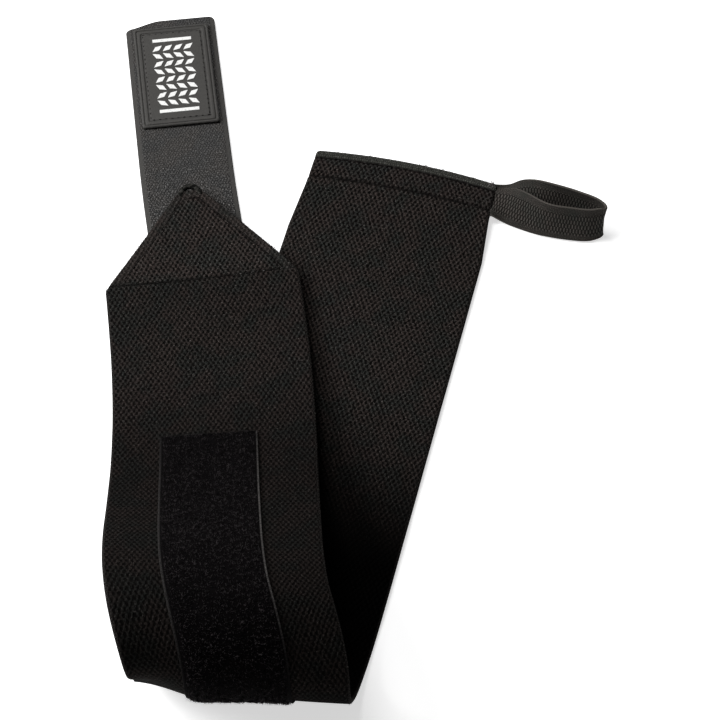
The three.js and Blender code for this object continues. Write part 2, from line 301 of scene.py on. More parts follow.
def store_flat(mesh, flat, edge):
    """Keeps the flat place as the UV map and the distance to the edge as an attribute."""
    loops = np.zeros(len(mesh.loops), dtype=np.int32)
    mesh.loops.foreach_get("vertex_index", loops)
    uv = mesh.uv_layers.new(name="flat")
    uv.data.foreach_set("uv", flat[loops].astype(np.float32).reshape(-1))
    attribute = mesh.attributes.new("edge", "FLOAT", "POINT")
    attribute.data.foreach_set("value", edge.astype(np.float32))


def spread(low, high, step, fine):
    """Places from low to high, with closer ones round each fine place."""
    rough = np.linspace(low, high, int(round((high - low) / step)) + 1)
    close = [np.arange(f - FINE_REACH, f + FINE_REACH, FINE_STEP) for f in fine]
    rough = [r for r in rough if all(abs(r - f) > FINE_REACH for f in fine)]
    every = np.concatenate([rough, *close, [low, high]])
    return np.unique(np.round(every[(every >= low) & (every <= high)], 6))


# %% [markdown]
# The band's surface isn't flat. It dips at every row of stitches, swells between them where it is
# double, and rolls over at the hem's fold. These dips are worked out from the distance to the seams,
# drawn in the flat: two rows across the hem, one along the point's base and one inside its edges.

# %% Seams on the band
HEM_SEAMS = (4.3 * MM, 14.5 * MM)
BASE_SEAM = BAND_LENGTH + 2 * MM
BASE_BOW = 1.2 * MM
POINT_MARGIN = 4.2 * MM
TIP_WIDTH = 9 * MM
HEM_CORNER = 2.2 * MM
SHOULDER_ROUND = 0.5 * MM
TIP_ROUND = 1.6 * MM
HEM_ROLL = 0.35 * MM
HEM_SWELL = 0.25 * MM
# depth and width of the dips along the seams
HEM_DIP = (0.45 * MM, 0.9 * MM)
BASE_DIP = (0.4 * MM, 0.9 * MM)
SIDE_DIP = (0.28 * MM, 0.7 * MM)
# the elastic is uneven from here on, but flat at the hem
WAVE_START = (45 * MM, 70 * MM)
WAVE_HEIGHT = 0.12 * MM
POINT_SLOPE = (BAND_WIDTH - TIP_WIDTH) / POINT_LENGTH / 2
SLANT = math.hypot(1, POINT_SLOPE)


def band_half(along):
    """Half the width: the table's width, then the point with its rounded tip, shoulders and hem corners."""
    wide = BAND_WIDTH / 2 * np.interp(along / BAND_LENGTH, WIDTH_ROWS[:, 0], WIDTH_ROWS[:, 1])
    point = TIP_WIDTH / 2 + POINT_SLOPE * (TIP_AT - along)
    tip = np.sqrt(np.clip(1 - (1 - np.clip((TIP_AT - along) / (3 * MM), 0, 1)) ** 2, 0.02, 1))
    shoulder = SHOULDER_ROUND * np.log(np.exp(-wide / SHOULDER_ROUND) + np.exp(-point / SHOULDER_ROUND))
    return np.minimum(-shoulder, point * tip) - rounded(along, HEM_CORNER, HEM_CORNER)


def point_seam_distance(along, right):
    """Distance from the seam that runs inside the point's sloping edges."""
    edge = TIP_WIDTH / 2 + POINT_SLOPE * (TIP_AT - along)
    return np.abs((edge - np.abs(right)) / SLANT - POINT_MARGIN)


def dip(distance, depth, width):
    return depth * np.exp(-(distance / width) ** 2)


def wave(along, right):
    """Gentle unevenness of worn elastic."""
    return WAVE_HEIGHT * (np.sin(along * 210 + right * 60) + np.sin(along * 97 - right * 130 + 1.3))


def band_faces(along, right):
    """Depth of the outer and inner faces of the band from its reference face."""
    hem = smooth_step(along, HEM_DEPTH + 0.6 * MM, HEM_DEPTH)
    point = smooth_step(along, BAND_LENGTH - 0.3 * MM, BAND_LENGTH + 0.5 * MM)
    out_face = -BAND_THICKNESS * hem
    seams = sum(dip(along - s, *HEM_DIP) for s in HEM_SEAMS)
    roll = HEM_ROLL * smooth_step(along, 3.6 * MM, 2.0 * MM)
    in_face = BAND_THICKNESS * (1 + point) - seams + roll
    swell = np.clip((along - HEM_SEAMS[0]) / (HEM_SEAMS[1] - HEM_SEAMS[0]), 0, 1)
    in_face = in_face + HEM_SWELL * np.sin(np.pi * swell) * hem
    on_point = smooth_step(along, BAND_LENGTH - 1 * MM, BAND_LENGTH + 3 * MM)
    base_seam = BASE_SEAM - BASE_BOW * np.cos(np.pi * right / BAND_WIDTH)
    out_seams = dip(along - base_seam, *BASE_DIP)
    out_seams = out_seams + on_point * dip(point_seam_distance(along, right), *SIDE_DIP)
    bumps = wave(along, right) * smooth_step(along, *WAVE_START) * (1 - on_point)
    ends = rounded(along, BAND_THICKNESS, BAND_THICKNESS) + rounded(TIP_AT - along, TIP_ROUND, TIP_ROUND)
    return out_face + out_seams + bumps + ends, in_face + bumps - ends


# %% Band
band_columns = list(np.linspace(-1, 1, 81))
band_places = spread(0, TIP_AT, 2 * MM, fine=(1.5 * MM, *HEM_SEAMS, TIP_AT - 1.5 * MM))
point_places = np.arange(BAND_LENGTH - 3 * MM, TIP_AT - 3 * MM, 0.7 * MM)
off_point = (band_places < BAND_LENGTH - 3 * MM) | (band_places > TIP_AT - 3 * MM)
band_places = np.unique(np.concatenate([band_places[off_point], point_places]))
band = lay_cloth("band", band_places, band_columns, band_half, band_faces, 0.9 * MM)
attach(band, "root")
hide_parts("elastic_band")
print("band faces:", len(band.data.polygons))

# %% [markdown]
# The thumb loop is narrow knitted elastic. It leaves the hem's side flat, stands up on its edge as it
# opens, and comes back under itself. Both of its ends are caught inside the hem. Its middle line is a
# smooth curve through a few chosen places, each with the angle by which the elastic stands up there.

# %% Thumb loop
LOOP_WIDTH = 15.5 * MM
LOOP_THICKNESS = 1.2 * MM
LOOP_REACH = 45 * MM
LOOP_FROM_FOLD = 9 * MM
LOOP_GAP = 0.6 * MM
LOOP_STEPS = 12

# out (share of the reach), toward, lift (shares of the width), tilt in degrees
LOOP_ROWS = np.array([
    (-0.07, 0, 0.17, 0),
    (0, 0, 0.21, 0),
    (0.1, 0.06, 0.27, 16),
    (0.25, 0.25, 0.38, 42),
    (0.48, 0.48, 0.48, 66),
    (0.72, 0.47, 0.49, 68),
    (0.91, 0.38, 0.5, 70),
    (1, 0.16, 0.5, 74),
    (0.93, -0.04, 0.51, 80),
    (0.73, -0.18, 0.51, 80),
    (0.48, -0.22, 0.48, 66),
    (0.25, -0.24, 0.33, 34),
    (0.1, -0.2, 0.16, 8),
    (0, -0.17, 0.12, 2),
    (-0.07, -0.14, 0.13, 0),
])


def between(at, start, end, first, second):
    """The place between two points, by how far at has gone from start to end."""
    return ((end - at) * first + (at - start) * second) / (end - start)


def curve_through(points, steps):
    """A smooth curve through the points, evenly paced for their spacing."""
    ends = np.concatenate([[2 * points[0] - points[1]], points, [2 * points[-1] - points[-2]]])
    pace = np.sqrt(np.linalg.norm(np.diff(ends, axis=0), axis=1))
    t = np.concatenate([[0], np.cumsum(pace)])
    made = []
    for i in range(1, len(ends) - 2):
        at = np.linspace(t[i], t[i + 1], steps, endpoint=i == len(ends) - 3)[:, None]
        low = [between(at, t[k], t[k + 1], ends[k], ends[k + 1]) for k in (i - 1, i, i + 1)]
        mid = [between(at, t[k], t[k + 2], low[j], low[j + 1]) for j, k in ((0, i - 1), (1, i))]
        made.append(between(at, t[i], t[i + 1], mid[0], mid[1]))
    return np.concatenate(made)


root = on_fold(LOOP_FROM_FOLD, BAND_WIDTH / 2 + LOOP_GAP, BAND_THICKNESS)
root_travel, root_across, _ = axes_at(np.array(LOOP_FROM_FOLD))
loop_out, loop_toward = LOOP_ROWS[:, :1] * LOOP_REACH, LOOP_ROWS[:, 1:2] * LOOP_WIDTH
loop_points = root + loop_out * root_across + loop_toward * root_travel
loop_points[:, 2] = HEM_START[2] + LOOP_ROWS[:, 2] * LOOP_WIDTH
# the tilt runs along as a fourth number, made so small that it hardly changes the curve's pace
loop_line = curve_through(np.column_stack([loop_points, LOOP_ROWS[:, 3] * MM / 10]), LOOP_STEPS)
loop_tilt = np.radians(loop_line[:, 3] * 10 / MM)
loop_spine = loop_line[:, :3]
loop_tangent = np.gradient(loop_spine, axis=0)
loop_tangent /= np.linalg.norm(loop_tangent, axis=1, keepdims=True)
loop_wide = np.cos(loop_tilt)[:, None] * -root_travel + np.sin(loop_tilt)[:, None] * np.array((0, 0, 1))
loop_wide -= (loop_wide * loop_tangent).sum(1, keepdims=True) * loop_tangent
loop_wide /= np.linalg.norm(loop_wide, axis=1, keepdims=True)
loop_thick = np.cross(loop_tangent, loop_wide)
loop_run = np.concatenate([[0], np.cumsum(np.linalg.norm(np.diff(loop_spine, axis=0), axis=1))])
LOOP_LENGTH = loop_run[-1]


def on_loop(along, right, inward):
    """Points of the thumb loop, as for the band: along its run, across its width and through it."""
    along, right, inward = np.broadcast_arrays(along, right, inward)
    frames = [np.stack([np.interp(along, loop_run, a[:, k]) for k in range(3)], -1)
              for a in (loop_spine, loop_wide, loop_thick)]
    return frames[0] + right[..., None] * frames[1] + inward[..., None] * frames[2]


def loop_faces(along, right):
    """The middle of the elastic is ribbed and a little thicker than the plain stretch by its edges."""
    share = np.abs(right) / (LOOP_WIDTH / 2)
    field = smooth_step(share, 0.72, 0.55)
    bead = 0.12 * MM * smooth_step(share, 0.82, 0.97)
    half = LOOP_THICKNESS / 2 - 0.1 * MM + 0.1 * MM * field + bead
    return -half, half


loop_columns = list(np.linspace(-1, 1, 25))
loop_places = np.linspace(0, LOOP_LENGTH, 150)
thumb_loop = lay_cloth("loop_elastic", loop_places, loop_columns, lambda s: 0 * s + LOOP_WIDTH / 2,
                       loop_faces, 0.5 * MM, lay=on_loop)
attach(thumb_loop, "root")
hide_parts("thumb_loop")
print("length of the loop's elastic in mm:", round(LOOP_LENGTH / MM))

# %% [markdown]
# The hook strap is a stiff tape: a pebbled cloth on top, plain woven edges, and rows of hooks below.
# Its left corner is cut back a little.

# %% Hook strap
STRAP_WIDTH = 39.5 * MM
STRAP_BACKING = 0.9 * MM
STRAP_SELVAGE = 2 * MM
STRAP_TUCK = 26 * MM
STRAP_START = TIP_AT - STRAP_TUCK
STRAP_DROP = 2 * BAND_THICKNESS + 0.3 * MM
CORNER_CUT = 3.6 * MM


def strap_lay(along, right, inward):
    """The strap's end is cut back at its left corner, and every corner is a little round."""
    cut = CORNER_CUT * smooth_step(-right, STRAP_WIDTH * 0.1, STRAP_WIDTH * 0.5)
    share = (along - STRAP_START) / (STRAP_END - STRAP_START)
    return on_fold(along - cut * share ** 8, right, inward)


def strap_faces(along, right):
    """A thin tape that waves a little, with a dip over each selvage."""
    field_edge = STRAP_WIDTH / 2 - STRAP_SELVAGE
    field = smooth_step(np.abs(right), field_edge + 0.3 * MM, field_edge - 0.3 * MM)
    wavy = 0.1 * MM * np.sin(along * 160 + right * 90)
    top = STRAP_DROP + 0.25 * MM * (1 - field) + wavy * 0.5
    return top, top + STRAP_BACKING


def strap_half(along):
    return STRAP_WIDTH / 2 - rounded(STRAP_END - along, 2.5 * MM, 1.6 * MM)


strap_places = spread(STRAP_START, STRAP_END, 1.5 * MM, fine=(STRAP_END - 1.3 * MM,))
strap_columns = list(np.linspace(-1, 1, 41))
strap = lay_cloth("strap", strap_places, strap_columns, strap_half, strap_faces, 0.45 * MM, lay=strap_lay)
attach(strap, "root")
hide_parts("hook_strap")
print("strap length in mm:", round((STRAP_END - STRAP_START) / MM))

# %% [markdown]
# The pile tape is sewn along the outer face of the band and goes round the bend with it. Its ground
# is a thin tape with smooth selvages. The pile itself is thousands of short bent fibres.

# %% Pile tape ground
PILE_WIDTH = 38 * MM
PILE_LENGTH = 172 * MM
PILE_SELVAGE = 1.4 * MM
PILE_TOP = BAND_LENGTH - 78.5 * MM
PILE_BOTTOM = PILE_TOP - PILE_LENGTH
PILE_GAP = 0.25 * MM


def pile_middle(along):
    return np.interp(along, (PILE_BOTTOM, PILE_TOP), (0.5 * MM, -2 * MM))


def pile_faces(along, right):
    out = -PILE_GAP - 0.8 * MM + wave(along, right)
    seam = dip(PILE_WIDTH / 2 - PILE_SELVAGE - np.abs(right), 0.3 * MM, 0.5 * MM)
    return out + seam, -PILE_GAP + wave(along, right)


pile_columns = list(np.linspace(-1, 1, 41))
pile_ground = lay_cloth("pile_ground", np.linspace(PILE_BOTTOM, PILE_TOP, 87), pile_columns,
                        lambda s: 0 * s + PILE_WIDTH / 2, pile_faces, 0.35 * MM, middle=pile_middle)
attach(pile_ground, "root")
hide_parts("pile_tape")
print("pile tape in mm:", round(PILE_WIDTH / MM), "by", round(PILE_LENGTH / MM))

# %% [markdown]
# Fibres are needed in several places: the pile, the loose threads at the cut ends, and the fuzz along
# the hem. Each is a thin three-sided thread that bends at random and narrows to its tip. One helper
# makes a whole field of them as a single mesh.

# %% Helper for fibres
def make_fibres(name, roots, directions, lengths, radius, bend, seed, joints):
    """One mesh of thin bent threads that grow from the roots."""
    chance = np.random.default_rng(seed)
    count = len(roots)
    heading = directions / np.linalg.norm(directions, axis=1, keepdims=True)
    corner = 2 * math.pi / 3 * np.arange(3)
    rings = []
    place = roots.copy()
    for k in range(joints + 1):
        side = np.cross(heading, np.roll(heading, 1, axis=1) + (0.1, 0.2, 0.3))
        side /= np.linalg.norm(side, axis=1, keepdims=True)
        other = np.cross(heading, side)
        thin = radius * (1 - 0.6 * k / joints)
        ring = np.cos(corner)[None, :, None] * side[:, None] + np.sin(corner)[None, :, None] * other[:, None]
        rings.append(place[:, None] + thin * ring)
        place = place + heading * (lengths / joints)[:, None]
        heading = heading + chance.normal(0, bend, (count, 3))
        heading /= np.linalg.norm(heading, axis=1, keepdims=True)
    base = np.arange(count)[:, None] * 3 * (joints + 1)
    faces = []
    for k in range(joints):
        for c in range(3):
            low, high = 3 * k + c, 3 * k + (c + 1) % 3
            faces.append(base + (low, high, high + 3, low + 3))
    sides = np.concatenate(faces).tolist()
    caps = (base + (2, 1, 0)).tolist() + (base + 3 * joints + (0, 1, 2)).tolist()
    made = add_mesh(name, np.stack(rings, 1), sides + caps)
    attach(made, "root")
    return made


# %% Pile fibres
PILE_COUNT = 13000
chance = np.random.default_rng(4)
field_half = PILE_WIDTH / 2 - PILE_SELVAGE - 0.3 * MM
pile_along = chance.uniform(PILE_BOTTOM + 0.5 * MM, PILE_TOP - 0.5 * MM, PILE_COUNT)
pile_right = chance.uniform(-field_half, field_half, PILE_COUNT)
pile_depth = pile_faces(pile_along, pile_right)[0] + 0.05 * MM
pile_roots = on_fold(pile_along, pile_right + pile_middle(pile_along), pile_depth)
pile_out = -axes_at(pile_along)[2] + chance.normal(0, 0.55, (PILE_COUNT, 3))
pile_fibres = make_fibres("pile_fibres", pile_roots, pile_out, chance.uniform(0.55, 1.2, PILE_COUNT) * MM,
                          0.16 * MM, 0.75, 5, joints=2)
print("pile fibre faces:", len(pile_fibres.data.polygons))

# %% [markdown]
# The seams are sewn with thread. One stitch is a short fat thread with round ends. It is modelled once
# from a small sphere, drawn out along its length, and then copied along every seam. Each copy lies a
# little differently, because sewing on elastic is never quite even.

# %% One stitch
STITCH_SIDES = 8
STITCH_RINGS = 6
STITCH_SAG = 0.3
STITCH_PITCH = 3.2 * MM

bpy.ops.object.select_all(action="DESELECT")
bpy.ops.mesh.primitive_uv_sphere_add(segments=STITCH_SIDES, ring_count=STITCH_RINGS, radius=0.5,
                                     rotation=(0, math.pi / 2, 0))
bpy.ops.object.transform_apply(location=False, rotation=True, scale=False)
one_stitch = bpy.context.object
bpy.ops.object.mode_set(mode="EDIT")
bpy.ops.mesh.select_all(action="DESELECT")
bpy.ops.object.mode_set(mode="OBJECT")
for vertex in one_stitch.data.vertices:
    vertex.select = vertex.co.x > 0.3
bpy.ops.object.mode_set(mode="EDIT")
bpy.ops.mesh.select_mode(type="VERT")
bpy.ops.transform.translate(value=(0.5, 0, 0))
bpy.ops.object.mode_set(mode="OBJECT")
STITCH_POINTS = np.array([v.co[:] for v in one_stitch.data.vertices])
STITCH_POINTS[:, 0] -= STITCH_POINTS[:, 0].mean()
STITCH_POINTS[:, 0] /= np.ptp(STITCH_POINTS[:, 0])
STITCH_FACES = [list(p.vertices) for p in one_stitch.data.polygons]
bpy.data.objects.remove(one_stitch)


def sew(name, places, headings, up, length, radius, seed):
    """Copies the stitch to every place. Each lies along its heading and sags at both ends."""
    chance = np.random.default_rng(seed)
    count = len(places)
    ahead = headings / np.linalg.norm(headings, axis=1, keepdims=True)
    aside = np.cross(up, ahead)
    aside /= np.linalg.norm(aside, axis=1, keepdims=True)
    above = np.cross(ahead, aside)
    ahead = ahead + aside * chance.normal(0, 0.07, (count, 1))
    lengths = length * chance.uniform(0.85, 1.08, (count, 1, 1))
    x, y, z = STITCH_POINTS.T
    drop = z * 2 * radius - (2 * x) ** 2 * radius * 2 * STITCH_SAG
    points = (places[:, None] + ahead[:, None] * lengths * x[None, :, None]
              + aside[:, None] * (y * 2 * radius)[None, :, None] + above[:, None] * drop[None, :, None])
    faces = [[k + i * len(x) for k in face] for i in range(count) for face in STITCH_FACES]
    made = add_mesh(name, points, faces)
    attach(made, "root")
    return made


def sew_along(name, along, right, faces, side, length, radius, seed, pitch=STITCH_PITCH):
    """Sews a row of stitches on a laid cloth, on its outer face (side 0) or its inner face (side 1)."""
    route = on_fold(along, right, faces(along, right)[side])
    gone = np.concatenate([[0], np.cumsum(np.linalg.norm(np.diff(route, axis=0), axis=1))])
    stops = np.arange(pitch / 2, gone[-1], pitch)
    where = [np.interp(stops, gone, v) for v in (along, right)]
    further = [np.interp(stops + 0.2 * MM, gone, v) for v in (along, right)]
    out = 1 if side else -1
    depth = faces(*where)[side]
    lift = out * (radius * 0.35)
    spots = on_fold(*where, depth + lift)
    ahead = on_fold(*further, depth + lift) - spots
    above = on_fold(*where, depth + out * MM) - spots
    return sew(name, spots, ahead, above, length, radius, seed)


print("faces in one stitch:", len(STITCH_FACES))

# %% [markdown]
# The hem has two rows of dark stitches, and both bow with it. The point has a row along its base,
# which turns to a paler thread near the right shoulder, and a row inside each sloping edge.

# %% Seams on hem and point
STITCH_LENGTH = 2.3 * MM
THREAD = 0.26 * MM

hem_right = np.linspace(-0.96, 0.97, 120) * BAND_WIDTH / 2
hem_stitches = []
for number, seam in enumerate(HEM_SEAMS):
    hem_row = sew_along(f"hem_stitches_{number + 1}", hem_right * 0 + seam, hem_right, band_faces, 1,
                        STITCH_LENGTH, THREAD, 20 + number)
    hem_stitches.append(hem_row)

PALE_FROM = 0.3  # share of the half width
PALE_LENGTH = 1.7 * MM
PALE_PITCH = 2.4 * MM
base_right = np.linspace(-0.97, 0.95, 120) * BAND_WIDTH / 2
base_along = BASE_SEAM - BASE_BOW * np.cos(np.pi * base_right / BAND_WIDTH)
dark_part = base_right < PALE_FROM * BAND_WIDTH / 2
base_dark = sew_along("base_stitches", base_along[dark_part], base_right[dark_part], band_faces, 0,
                      STITCH_LENGTH, THREAD, 23)
base_pale = sew_along("base_stitches_pale", base_along[~dark_part], base_right[~dark_part], band_faces, 0,
                      PALE_LENGTH, THREAD, 24, pitch=PALE_PITCH)

side_along = np.linspace(BAND_LENGTH + 4 * MM, TIP_AT - 6.5 * MM, 60)
side_right = TIP_WIDTH / 2 + POINT_SLOPE * (TIP_AT - side_along) - POINT_MARGIN * SLANT
edge_stitches = []
for number, hand in enumerate((-1, 1)):
    edge_row = sew_along(f"edge_stitches_{number + 1}", side_along, hand * side_right, band_faces, 0,
                         STITCH_LENGTH, THREAD, 25 + number)
    edge_stitches.append(edge_row)
print("stitched rows:", len(hem_stitches) + len(edge_stitches) + 2)

# %% [markdown]
# The folded tip is bound with a short, thick, twisted cord. A round section is spun half a turn about
# the tip, pressed into an arch, and laid over the strap.

# %% Tip binding
BINDING_RADIUS = 4.2 * MM
BINDING_THICK = 1.2 * MM
BINDING_STEPS = 28

bpy.ops.object.select_all(action="DESELECT")
bpy.ops.mesh.primitive_circle_add(vertices=10, radius=BINDING_THICK, fill_type="NOTHING",
                                  location=(BINDING_RADIUS, 0, 0), rotation=(math.pi / 2, 0, 0))
binding = bpy.context.object
binding.name = "tip_binding"
bpy.ops.object.transform_apply(location=True, rotation=True, scale=True)
bpy.ops.object.mode_set(mode="EDIT")
bpy.ops.mesh.select_all(action="SELECT")
bpy.ops.mesh.spin(steps=BINDING_STEPS, angle=math.pi, center=(0, 0, 0), axis=(0, 0, 1))
bpy.ops.mesh.select_all(action="SELECT")
bpy.ops.mesh.remove_doubles(threshold=0.01 * MM)
bpy.ops.mesh.select_all(action="DESELECT")
bpy.ops.mesh.select_non_manifold()
bpy.ops.mesh.edge_face_add()
bpy.ops.mesh.select_all(action="SELECT")
bpy.ops.mesh.normals_make_consistent(inside=False)
bpy.ops.object.mode_set(mode="OBJECT")
print("binding faces:", len(binding.data.polygons))


def pick(*pieces):
    """Selects these pieces and no others, and makes the first one active."""
    bpy.ops.object.select_all(action="DESELECT")
    for piece in pieces:
        piece.select_set(True)
    bpy.context.view_layer.objects.active = pieces[0]


def lay_flat_piece(piece, along, right, inward):
    """Moves a piece from the origin to its place on the fold, turned with the travel there."""
    spot = on_fold(along, right, inward)
    across = axes_at(np.array(along))[1]
    pick(piece)
    piece.rotation_euler = (0, 0, math.atan2(across[1], across[0]))
    piece.location = Vector(spot)
    bpy.ops.object.transform_apply(location=True, rotation=True, scale=True)
    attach(piece, "root")


for vertex in binding.data.vertices:
    angle = math.atan2(vertex.co.y, vertex.co.x)
    vertex.co.y *= -1.1
    vertex.co.z = vertex.co.z * (0.8 + 0.14 * math.sin(15 * angle)) - 0.5 * MM * math.cos(angle) ** 2
binding.data.shade_smooth()
face_out(binding)
lay_flat_piece(binding, TIP_AT - 3.4 * MM, 0.0, 0.1 * MM)

# %% [markdown]
# The label is moulded rubber, sewn to the strap. Its rim has a lip, two fine ridges and a groove where
# the stitches lie, round a flat panel. A cube is scaled to the label's size and its corners are
# bevelled. Then the top face is extruded again and again, each time a little smaller and higher or lower, as
# the table says, so that the rim's whole section comes from one row of numbers.

# %% Label
LABEL_WIDTH = 33 * MM
LABEL_LENGTH = 57 * MM
LABEL_BASE = 0.7 * MM
LABEL_CORNER = 1.1 * MM
LABEL_AT = STRAP_END - 5 * MM - LABEL_LENGTH / 2
LABEL_BACK = 2 * BAND_THICKNESS

# step inwards and rise in mm, from the outer edge to the panel
RIM_STEPS = (
    (0.15, 0.2),
    (0.35, 0.25),
    (0.45, 0.0),
    (0.25, -0.3),
    (0.2, 0.0),
    (0.25, 0.3),
    (0.55, 0.08),
    (0.6, 0.0),
    (0.3, -0.3),
    (0.55, 0.0),
    (0.3, 0.22),
    (0.5, 0.0),
)

bpy.ops.object.select_all(action="DESELECT")
bpy.ops.mesh.primitive_cube_add(size=1, location=(0, 0, LABEL_BASE / 2),
                                scale=(LABEL_WIDTH, LABEL_LENGTH, LABEL_BASE))
label = bpy.context.object
label.name = "label"
bpy.ops.object.transform_apply(location=True, rotation=False, scale=True)


def select_parts(piece, kind, test):
    """Selects the edges or faces whose corners pass the test, and nothing else."""
    bpy.ops.object.mode_set(mode="EDIT")
    bpy.ops.mesh.select_mode(type=kind)
    bpy.ops.mesh.select_all(action="DESELECT")
    bpy.ops.object.mode_set(mode="OBJECT")
    mesh = piece.data
    for part in (mesh.edges if kind == "EDGE" else mesh.polygons):
        points = [mesh.vertices[i].co for i in part.vertices]
        part.select = test(points)
    bpy.ops.object.mode_set(mode="EDIT")


select_parts(label, "EDGE", lambda p: abs(p[0].z - p[1].z) > LABEL_BASE / 2)
bpy.ops.mesh.bevel(offset=LABEL_CORNER, segments=5, affect="EDGES")
select_parts(label, "FACE", lambda p: min(v.z for v in p) > LABEL_BASE * 0.9)
wide, long = LABEL_WIDTH, LABEL_LENGTH
for inset, rise in RIM_STEPS:
    narrower, shorter = wide - 2 * inset * MM, long - 2 * inset * MM
    bpy.ops.mesh.extrude_region_move(TRANSFORM_OT_translate={"value": (0, 0, rise * MM)})
    bpy.ops.transform.resize(value=(narrower / wide, shorter / long, 1))
    wide, long = narrower, shorter
bpy.ops.object.mode_set(mode="OBJECT")
PANEL_TOP = max(v.co.z for v in label.data.vertices if abs(v.co.x) < LABEL_WIDTH / 2 - 4 * MM)
pick(label)
rounding = label.modifiers.new("soft_edges", "BEVEL")
rounding.width = 0.07 * MM
rounding.segments = 2
rounding.limit_method = "ANGLE"
bpy.ops.object.modifier_apply(modifier="soft_edges")
bpy.ops.object.shade_smooth_by_angle(angle=math.radians(35))
lay_flat_piece(label, LABEL_AT, 0.0, LABEL_BACK)
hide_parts("rubber_label")
print("label faces:", len(label.data.polygons), "panel height in mm:", round(PANEL_TOP / MM, 2))

# %% [markdown]
# The panel carries a pale raised print, a plain pattern: rows of short lozenges that lean left and right
# in turn, with a bar at either end. A lozenge is a flattened four-sided disc with a small bevel, and a
# loop sets them out.

# %% Print on the label
PRINT_THICK = 0.22 * MM
LOZENGE_LONG = 5.6 * MM
LOZENGE_WIDE = 2.6 * MM
PRINT_COLUMNS = 4
PRINT_ROWS = 8
PRINT_STEP = (4.5 * MM, 4.5 * MM)
BAR_WIDE = 17 * MM
BAR_HIGH = 1.8 * MM
BAR_GAP = 2.4 * MM
LEAN = math.radians(38)
print_pieces = []


def add_print_mark(shape, size, place, turn):
    """A raised flat mark with a small bevel, on the label's panel."""
    bpy.ops.object.select_all(action="DESELECT")
    if shape == "lozenge":
        bpy.ops.mesh.primitive_cylinder_add(vertices=4, radius=0.5, depth=1)
    else:
        bpy.ops.mesh.primitive_cube_add(size=1)
    mark = bpy.context.object
    mark.scale = (*size, PRINT_THICK)
    bpy.ops.object.transform_apply(location=False, rotation=True, scale=True)
    bpy.ops.object.mode_set(mode="EDIT")
    bpy.ops.mesh.select_all(action="SELECT")
    bpy.ops.mesh.bevel(offset=0.06 * MM, segments=1, affect="EDGES")
    bpy.ops.object.mode_set(mode="OBJECT")
    mark.rotation_euler = (0, 0, turn)
    mark.location = (*place, PANEL_TOP + PRINT_THICK * 0.4)
    bpy.ops.object.transform_apply(location=True, rotation=True, scale=True)
    print_pieces.append(mark)


for row in range(PRINT_ROWS):
    for column in range(PRINT_COLUMNS):
        x = (column - (PRINT_COLUMNS - 1) / 2) * PRINT_STEP[0]
        y = (row - (PRINT_ROWS - 1) / 2) * PRINT_STEP[1]
        add_print_mark("lozenge", (LOZENGE_LONG, LOZENGE_WIDE), (x, y), LEAN if row % 2 else -LEAN)
for end in (-1, 1):
    add_print_mark("bar", (BAR_WIDE, BAR_HIGH), (0, end * (PRINT_ROWS / 2 * PRINT_STEP[1] + BAR_GAP)), 0)

pick(*print_pieces)
bpy.ops.object.join()
label_print = bpy.context.object
label_print.name = "label_print"
lay_flat_piece(label_print, LABEL_AT, 0.0, LABEL_BACK)
print("print faces:", len(label_print.data.polygons))

# %% [markdown]
# The label is sewn down through the groove inside its rim.

# %% Stitches on the label
LABEL_STITCH = 1.9 * MM
LABEL_THREAD = 0.24 * MM
LABEL_PITCH = 2.6 * MM
GROOVE_IN = 3.95 * MM
GROOVE_HEIGHT = LABEL_BACK - LABEL_BASE - 0.23 * MM
groove_x = LABEL_WIDTH / 2 - GROOVE_IN
groove_y = LABEL_LENGTH / 2 - GROOVE_IN
groove_corners = [(x * groove_x, y * groove_y) for x, y in ((-1, -1), (1, -1), (1, 1), (-1, 1))]


def flat_faces(along, right):
    return along * 0 + GROOVE_HEIGHT, along * 0 + LABEL_BACK


label_stitches = []
for number, (x0, y0) in enumerate(groove_corners):
    x1, y1 = groove_corners[(number + 1) % 4]
    label_row = sew_along(f"label_stitches_{number + 1}", LABEL_AT + np.linspace(y0, y1, 40),
                          np.linspace(x0, x1, 40), flat_faces, 0, LABEL_STITCH, LABEL_THREAD,
                          30 + number, pitch=LABEL_PITCH)
    label_stitches.append(label_row)
print("label seam in mm:", round(2 * (2 * groove_x + 2 * groove_y) / MM))

# %% [markdown]
# Under the strap stand the rows of nylon hooks that grip the pile. They also lift the strap a little
# off the table. One hook is a five-sided stem whose top face is extruded up, over and down, as the
# table says, and it is then copied over the tape's field.

# %% Hooks under the strap
HOOK_STEM = 0.11 * MM
STEM_HEIGHT = 0.8 * MM
HOOK_PITCH = (1.7 * MM, 1.9 * MM)
# across and up in mm, and the share by which the end gets thinner
HOOK_BENDS = ((0.05, 0.28, 0.9), (0.17, 0.14, 0.9), (0.22, 0.0, 0.85), (0.1, -0.16, 0.7))

bpy.ops.object.select_all(action="DESELECT")
bpy.ops.mesh.primitive_cylinder_add(vertices=5, radius=HOOK_STEM, depth=STEM_HEIGHT,
                                    location=(0, 0, STEM_HEIGHT / 2))
one_hook = bpy.context.object
bpy.ops.object.transform_apply(location=True, rotation=False, scale=False)
select_parts(one_hook, "FACE", lambda p: min(v.z for v in p) > STEM_HEIGHT * 0.9)
for over, rise, thinner in HOOK_BENDS:
    bpy.ops.mesh.extrude_region_move(TRANSFORM_OT_translate={"value": (over * MM, 0, rise * MM)})
    bpy.ops.transform.resize(value=(thinner, thinner, thinner))
bpy.ops.object.mode_set(mode="OBJECT")
hook_points = np.array([v.co[:] for v in one_hook.data.vertices])
hook_faces = [list(p.vertices) for p in one_hook.data.polygons]
bpy.data.objects.remove(one_hook)

